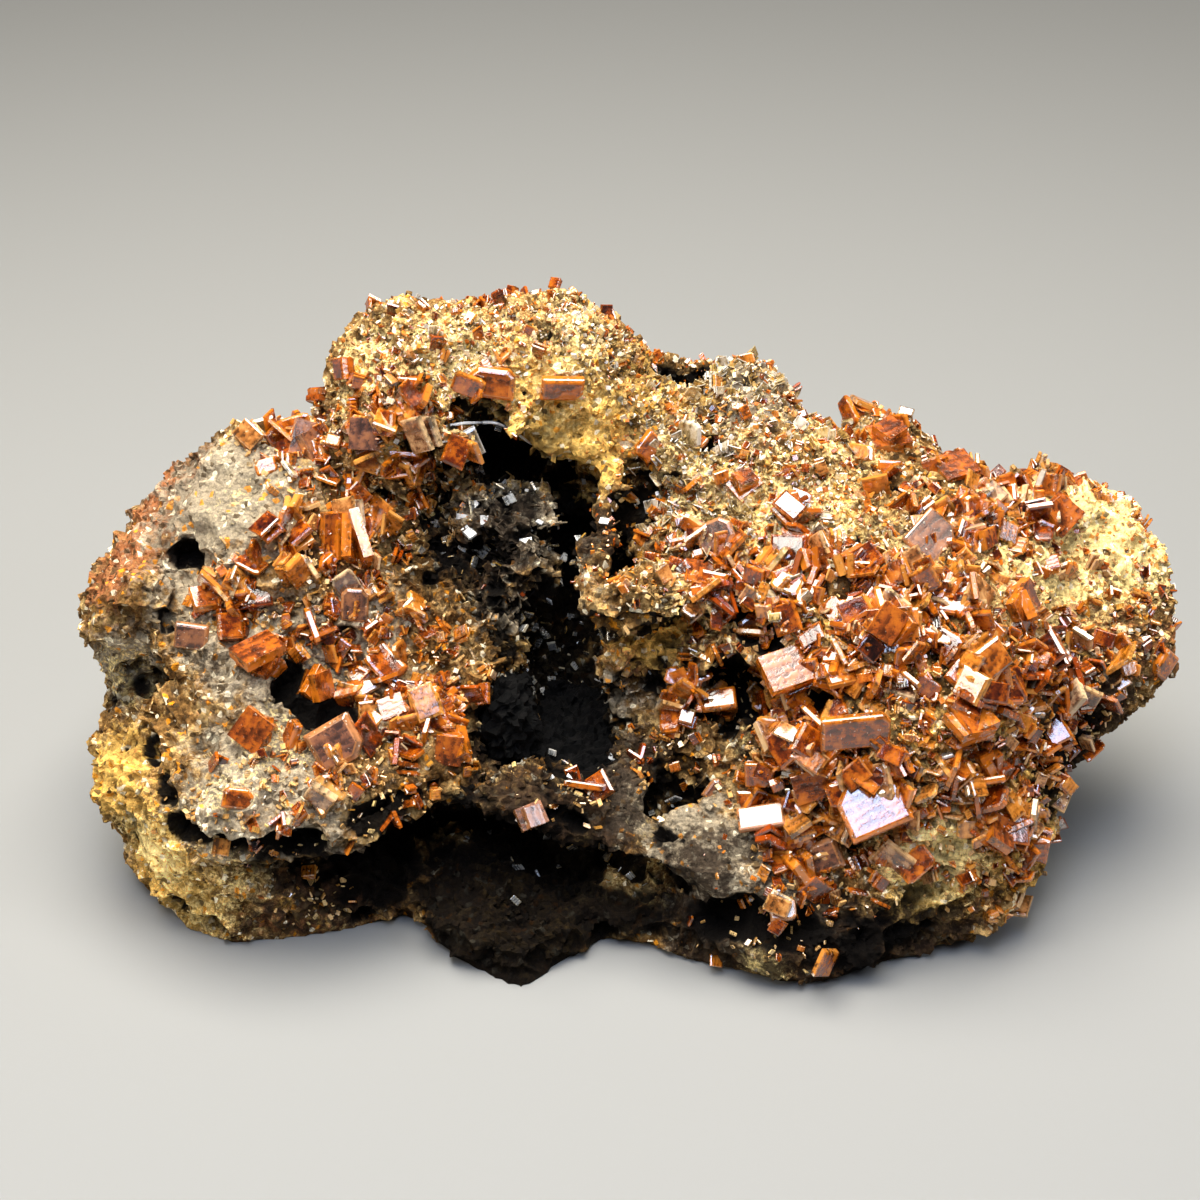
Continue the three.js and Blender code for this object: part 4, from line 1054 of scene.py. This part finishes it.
    height = add(tree, "ShaderNodeMath", {0: cells, 1: -0.5, 2: noises["grit"]}, operation="MULTIPLY_ADD")
    bump = add(tree, "ShaderNodeBump", {"Strength": 1.0, "Distance": 0.3 * MM, "Height": height})
    shader = add(tree, "ShaderNodeBsdfPrincipled",
                 {"Base Color": body, "Roughness": 0.9, "Specular IOR Level": 0.08, "Normal": bump})
    add(tree, "ShaderNodeOutputMaterial", {"Surface": shader})
    return material


def vug_lining():
    """Black goethite with a grey bloom, in a crust of tiny plates; the near-black colour is also painted
    shade for the deep vug.
    """
    material, tree = new_material("black_goethite_crust")
    where = add(tree, "ShaderNodeTexCoord").outputs["Object"]
    bloom = add(tree, "ShaderNodeTexNoise",
                {"Vector": where, "Scale": 1 / (1.5 * MM), "Detail": 5.0, "Roughness": 0.75})
    tint = add(tree, "ShaderNodeValToRGB", {"Fac": bloom}, stops=[(0.45, "030303"), (0.75, "131110")])
    bump = add(tree, "ShaderNodeBump", {"Strength": 0.8, "Distance": 0.2 * MM, "Height": bloom})
    shader = add(tree, "ShaderNodeBsdfPrincipled",
                 {"Base Color": tint, "Roughness": 0.85, "Specular IOR Level": 0.08, "Normal": bump})
    add(tree, "ShaderNodeOutputMaterial", {"Surface": shader})
    return material


def glassy(name, face_of, rim_of, roughness, clear, cloud):
    """A translucent lead mineral of adamantine lustre. Its high IOR gives hard white glints. Its rims and
    clouds are painted in a brighter colour, standing for light that has crossed the tablet; the rest of a
    face is painted dark.

    Clear is the share of light that crosses it, and cloud is how bright its painted glowing clouds are."""
    material, tree = new_material(name)
    where = add(tree, "ShaderNodeTexCoord").outputs["Object"]
    rim = add(tree, "ShaderNodeAttribute", attribute_name="rim").outputs["Fac"]
    clouds = add(tree, "ShaderNodeTexNoise",
                 {"Vector": where, "Scale": 1 / (1.4 * MM), "Detail": 5.0, "Roughness": 0.7})
    painted_glow = add(tree, "ShaderNodeMapRange",
               {"Value": clouds, "From Min": 0.48, "From Max": 0.7, "To Max": cloud})
    # Rims and glowing clouds take the brighter rim colour: a painted glow.
    lit = add(tree, "ShaderNodeMath", {0: rim, 1: painted_glow}, operation="MAXIMUM")
    body = add(tree, "ShaderNodeMix", {"Factor": lit, "A": face_of(tree), "B": rim_of(tree)},
               data_type="RGBA")

    # Growth steps run across each face about every 0.4 mm, and dull it in lines. With the clouds they also
    # darken each face in patches: partly inclusions, partly painted shade.
    growth = add(tree, "ShaderNodeAttribute", attribute_name="growth").outputs["Fac"]
    wander = add(tree, "ShaderNodeMath", {0: clouds, 1: 2.5, 2: growth}, operation="MULTIPLY_ADD")
    every = add(tree, "ShaderNodeMath", {0: wander, 1: 2.4}, operation="MULTIPLY")
    steps = add(tree, "ShaderNodeMath", {0: every, 1: 1.0}, operation="PINGPONG")
    inner = add(tree, "ShaderNodeMath", {0: steps, 1: 0.12, 2: clouds}, operation="MULTIPLY_ADD")
    shade = add(tree, "ShaderNodeMapRange",
                {"Value": inner, "From Min": 0.42, "From Max": 0.62, "To Min": 0.22, "To Max": 1.2})
    shaded = add(tree, "ShaderNodeMix", {"Factor": 1.0, "A": body, "B": shade},
                 data_type="RGBA", blend_type="MULTIPLY")

    # Specks of white, up to 0.4 mm, mostly along the rims: partly dust and chips, partly painted glints.
    chips = add(tree, "ShaderNodeTexNoise",
                {"Vector": where, "Scale": 1 / (0.42 * MM), "Detail": 2.0, "Roughness": 0.6})
    more = add(tree, "ShaderNodeMath", {0: rim, 1: 0.05, 2: chips}, operation="MULTIPLY_ADD")
    white = add(tree, "ShaderNodeMapRange",
                {"Value": more, "From Min": 0.7, "From Max": 0.74, "To Max": 0.85})
    chips_and_painted_glints = add(tree, "ShaderNodeMix", {"Factor": white, "A": shaded, "B": colour("fff2d8")},
                  data_type="RGBA")
    bump = add(tree, "ShaderNodeBump", {"Strength": 0.16, "Distance": 0.05 * MM, "Height": steps})
    shader = add(tree, "ShaderNodeBsdfPrincipled",
                 {"Base Color": chips_and_painted_glints, "Roughness": roughness, "IOR": 2.0,
                  "Transmission Weight": clear, "Normal": bump})
    add(tree, "ShaderNodeOutputMaterial", {"Surface": shader})
    return material


def own_colour(other, share):
    """The colour stored on a crystal, mixed with so much of another."""
    def build(tree):
        own = add(tree, "ShaderNodeAttribute", attribute_name="body").outputs["Color"]
        return add(tree, "ShaderNodeMix", {"Factor": share, "A": own, "B": colour(other)}, data_type="RGBA")
    return build


def tones(stops, bleached_stops, bleaching):
    """Each crystal's colour from its own tone. Where the rock is bleached, that share of them is pale."""
    def build(tree):
        tone = add(tree, "ShaderNodeAttribute", attribute_name="tone").outputs["Fac"]
        bleached = add(tree, "ShaderNodeAttribute", attribute_name="bleached").outputs["Fac"]
        chance = add(tree, "ShaderNodeMath", {0: bleached, 1: bleaching}, operation="MULTIPLY")
        many = add(tree, "ShaderNodeMath", {0: tone, 1: 7.31}, operation="MULTIPLY")
        lot = add(tree, "ShaderNodeMath", {0: many}, operation="FRACT")
        pale = add(tree, "ShaderNodeMath", {0: lot, 1: chance}, operation="LESS_THAN")
        usual = add(tree, "ShaderNodeValToRGB", {"Fac": tone}, stops=stops)
        bleached_one = add(tree, "ShaderNodeValToRGB", {"Fac": tone}, stops=bleached_stops)
        return add(tree, "ShaderNodeMix", {"Factor": pale, "A": usual, "B": bleached_one}, data_type="RGBA")
    return build


# Colours of the small crystals' faces and rims, from dark ones to light: each one's tone and its colour. The
# rim colours are a painted glow.
CARAMEL_FACES = [(0.08, "2c0e05"), (0.22, "641f06"), (0.4, "983c08"), (0.55, "c05a10"), (0.7, "dc8422"),
                 (0.9, "a06a44"), (0.99, "705048")]
CARAMEL_RIMS = [(0.1, "b84c0a"), (0.45, "ee861c"), (0.75, "faae50"), (0.95, "fcd8a4")]
PALE_FACES = [(0.08, "6c4818"), (0.3, "a87c34"), (0.6, "d4ae60"), (0.8, "b8a07c"), (0.95, "f2e6c8")]
PALE_RIMS = [(0.1, "dca63c"), (0.5, "f4deaa"), (0.9, "ffffff")]
GOLDEN_FACES = [(0.05, "5e360c"), (0.4, "a87024"), (0.75, "dcae5a"), (0.93, "f2c21a"), (1.0, "f6e2b4")]
GOLDEN_RIMS = [(0.0, "e09a28"), (1.0, "ffe8b8")]
SMOKY_FACES = [(0.0, "7c7468"), (1.0, "e8eae8")]

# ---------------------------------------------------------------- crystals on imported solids


def mark_faces(mesh):
    """Sets "rim" to 1 on a crystal's narrow faces and 0 on its broad ones, and "growth" to the distance
    in millimetres across the lines of growth, which run along each face's longest edge."""
    narrowest, share = 1.05 * MM, 0.3
    broad = max(narrowest, share * math.sqrt(max(face.area for face in mesh.polygons)))
    points = corners_of(mesh)
    rims, growth = [], []
    for face in mesh.polygons:
        ring = points[list(face.vertices)]
        edges = np.roll(ring, -1, axis=0) - ring
        lengths = np.linalg.norm(edges, axis=1)
        rims.append(float(face.area / lengths.max() < broad))
        across = np.cross(np.array(face.normal), edges[lengths.argmax()] / lengths.max())
        growth += (ring @ across / MM).tolist()
    mesh.attributes.new("rim", "FLOAT", "FACE").data.foreach_set("value", rims)
    mesh.attributes.new("growth", "FLOAT", "CORNER").data.foreach_set("value", growth)


def make_crystal(node, material, slot):
    """One packed crystal or group with its sharp edges just broken, in its own colour."""
    points, faces = shells[node]
    piece = piece_from("grown_" + node, mesh_from(node, points, faces))
    flat = piece.modifiers.new("flat faces", "DECIMATE")
    flat.decimate_type = "DISSOLVE"
    flat.angle_limit = math.radians(1.0)
    edge = piece.modifiers.new("broken edges", "BEVEL")
    edge.width = CRYSTAL_BEVEL * MM
    edge.segments = 1
    edge.limit_method = "ANGLE"
    edge.angle_limit = math.radians(35)
    edge.use_clamp_overlap = True
    settle(piece)
    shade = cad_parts[node].data.materials[0].node_tree.nodes["Principled BSDF"]
    body = list(shade.inputs["Base Color"].default_value)
    attribute = piece.data.attributes.new("body", "FLOAT_COLOR", "POINT")
    attribute.data.foreach_set("color", body * len(piece.data.vertices))
    mark_faces(piece.data)
    hand_in(piece, material, slot, node)


# ---------------------------------------------------------------- build

stone = gossan()
clear_tablet = glassy("wulfenite_clear_tablet", own_colour("983808", 0.45), own_colour("f0861a", 0.75),
                      roughness=0.1, clear=0.4, cloud=0.9)
frosted_tablet = glassy("wulfenite_frosted_tablet", own_colour("6a3a1c", 0.65), own_colour("c8803c", 0.65),
                        roughness=0.25, clear=0.2, cloud=0.6)
caramel_tablet = glassy("wulfenite_small_tablet", tones(CARAMEL_FACES, PALE_FACES, 0.1),
                        tones(CARAMEL_RIMS, PALE_RIMS, 0.1), roughness=0.1, clear=0.4, cloud=0.9)
pale_tablet = glassy("wulfenite_pale_tablet", tones(PALE_FACES, PALE_FACES, 0.0),
                     tones(PALE_RIMS, PALE_RIMS, 0.0), roughness=0.12, clear=0.4, cloud=0.8)
sugary_druse = glassy("wulfenite_sugary_druse", tones(CARAMEL_FACES, PALE_FACES, 1.0),
                      tones(CARAMEL_RIMS, PALE_RIMS, 1.0), roughness=0.12, clear=0.0, cloud=0.8)
golden_druse = glassy("wulfenite_golden_druse", tones(GOLDEN_FACES, PALE_FACES, 0.5),
                      tones(GOLDEN_RIMS, PALE_RIMS, 0.5), roughness=0.12, clear=0.0, cloud=0.8)
colourless_druse = glassy("colourless_druse", tones(SMOKY_FACES, SMOKY_FACES, 0.0),
                          tones(PALE_RIMS, PALE_RIMS, 0.0), roughness=0.1, clear=0.6, cloud=0.5)

rock = make_rock()
mark_rock(rock)
bevelled_tablets = tablet_tree(True)
plain_plates = tablet_tree(False)
crumbs = crumb_tree()

# What grows on the rock: name, tree, material, slot and the tree's inputs, with lengths in millimetres.
GROWTHS = [
    ("large_tablets", bevelled_tablets, caramel_tablet, "wulfenite",
     dict(where="heaps", per_square_metre=0.95e6, smallest=1.5, largest=4.0, thickness=0.22, group_size=6,
          scatter=0.7, upright=0.35, lift=0.2, fan=0.7, together=2, seed=3)),
    ("small_tablets", bevelled_tablets, caramel_tablet, "wulfenite",
     dict(where="druse", per_square_metre=0.8e6, smallest=0.7, largest=2.0, thickness=0.24, group_size=5,
          scatter=0.8, upright=0.3, lift=0.27, fan=0.7, together=2, seed=5)),
    ("sugary_druse", plain_plates, sugary_druse, "wulfenite",
     dict(where="sugar", per_square_metre=5.2e6, smallest=0.22, largest=0.7, thickness=0.25, group_size=3,
          scatter=0.8, upright=0.5, lift=0.3, fan=0.5, together=1, seed=7)),
    ("pale_blades", bevelled_tablets, pale_tablet, "wulfenite",
     dict(where="ridge", per_square_metre=0.9e6, smallest=0.5, largest=1.8, thickness=0.1, group_size=4,
          scatter=0.5, upright=0.7, lift=0.2, fan=0.5, together=3, seed=18)),
    ("golden_druse", plain_plates, golden_druse, "wulfenite",
     dict(where="golden", per_square_metre=2.7e6, smallest=0.25, largest=0.9, thickness=0.25, group_size=3,
          scatter=0.8, upright=0.5, lift=0.25, fan=0.5, together=1, seed=8)),
    ("vug_sparkles", bevelled_tablets, colourless_druse, "druse",
     dict(where="sparkle", per_square_metre=0.5e6, smallest=0.4, largest=1.5, thickness=0.2, group_size=3,
          scatter=0.8, upright=0.3, lift=0.3, fan=0.3, together=1, seed=9)),
    ("boxwork_blades", plain_plates, stone, "gossan",
     dict(where="boxwork", per_square_metre=1.3e6, smallest=0.4, largest=1.5, thickness=0.1, group_size=2.5,
          scatter=1.0, upright=0.85, lift=0.18, fan=0.5, together=1, seed=17)),
    ("rock_crumbs", crumbs, stone, "gossan",
     dict(where="crumbs", per_square_metre=0.45e6, smallest=0.25, largest=0.8, seed=13)),
]
for name, tree, material, slot, inputs in GROWTHS:
    hand_in(grow(name, tree, rock, material=material, **inputs), material, slot)
hand_in(rock, stone, "gossan", "matrix")
hand_in(make_thread(), colourless_druse, "druse")
hand_in(make_bright_tablets(rock), colourless_druse, "druse")
hand_in(make_lining(), vug_lining(), "druse", "vug_crust")

for crystal in crystal_nodes:
    if crystal in FROSTED:
        make_crystal(crystal, frosted_tablet, "wulfenite_frosted")
    else:
        make_crystal(crystal, clear_tablet, "wulfenite")

# ---------------------------------------------------------------- floor, light and camera

low, high = cad_box
middle = (low + high) / 2
width = high.x - low.x


def area_light(name, place, side, power, tint):
    """A square softbox that faces the middle of the specimen. Place and side are in specimen widths, and
    power is in watts."""
    lamp = bpy.data.lights.new(name, "AREA")
    lamp.shape = "SQUARE"
    lamp.size = side * width
    lamp.energy = power
    lamp.color = colour(tint)[:3]
    box = bpy.data.objects.new(name, lamp)
    bpy.context.scene.collection.objects.link(box)
    box.location = Vector(place) * width + Vector((middle.x, middle.y, 0))
    box.rotation_euler = (middle - box.location).to_track_quat("-Z", "Y").to_euler()


area_light("top softbox", (-0.3, 0.1, 3.2), side=2.6, power=2.95, tint="fffaf0")
area_light("front softbox", (-0.3, -1.7, 2.6), side=1.0, power=0.42, tint="c4d8ff")
area_light("left softbox", (-2.6, -1.4, 1.8), side=1.0, power=0.35, tint="fffaf0")
area_light("right softbox", (2.4, -1.2, 2.2), side=0.9, power=0.3, tint="e8f0ff")

ceiling = bpy.data.lights.new("ceiling", "SUN")
ceiling.angle = math.radians(60)
ceiling.energy = 1.9
ceiling.color = colour("fffaf0")[:3]
overhead = bpy.data.objects.new("ceiling", ceiling)
bpy.context.scene.collection.objects.link(overhead)
overhead.location = (0, 0, 4 * width)

world = bpy.data.worlds.new("soft room")
world.use_nodes = True
world.node_tree.nodes["Background"].inputs["Color"].default_value = colour("dfe4ea")
world.node_tree.nodes["Background"].inputs["Strength"].default_value = 0.09
bpy.context.scene.world = world

reach = 400 * width
floor_points = np.array([(-reach, -reach, 0), (reach, -reach, 0), (reach, reach, 0), (-reach, reach, 0)])
floor = piece_from("floor", mesh_from("floor", floor_points, np.array([(0, 1, 2, 3)])))
card, card_tree = new_material("pale_matt_card")
paper = add(card_tree, "ShaderNodeBsdfPrincipled", {"Base Color": colour("848482"), "Roughness": 0.9})
add(card_tree, "ShaderNodeOutputMaterial", {"Surface": paper})
floor.data.materials.append(card)

# The camera stands in front and looks down on the specimen.
camera = bpy.data.objects.new("camera", bpy.data.cameras.new("camera"))
bpy.context.scene.collection.objects.link(camera)
camera.data.lens = 65
camera.data.clip_start = 0.01
camera.data.clip_end = 600 * width
aim = Vector((-0.0267 * width, -0.018 * width, 0.2432 * width))
looking_down = math.radians(30)
distance = 1.949 * width
camera.location = aim + distance * Vector((0, -math.cos(looking_down), math.sin(looking_down)))
camera.rotation_euler = (math.pi / 2 - looking_down, 0, 0)
bpy.context.scene.camera = camera
bpy.context.scene.view_settings.view_transform = "Standard"
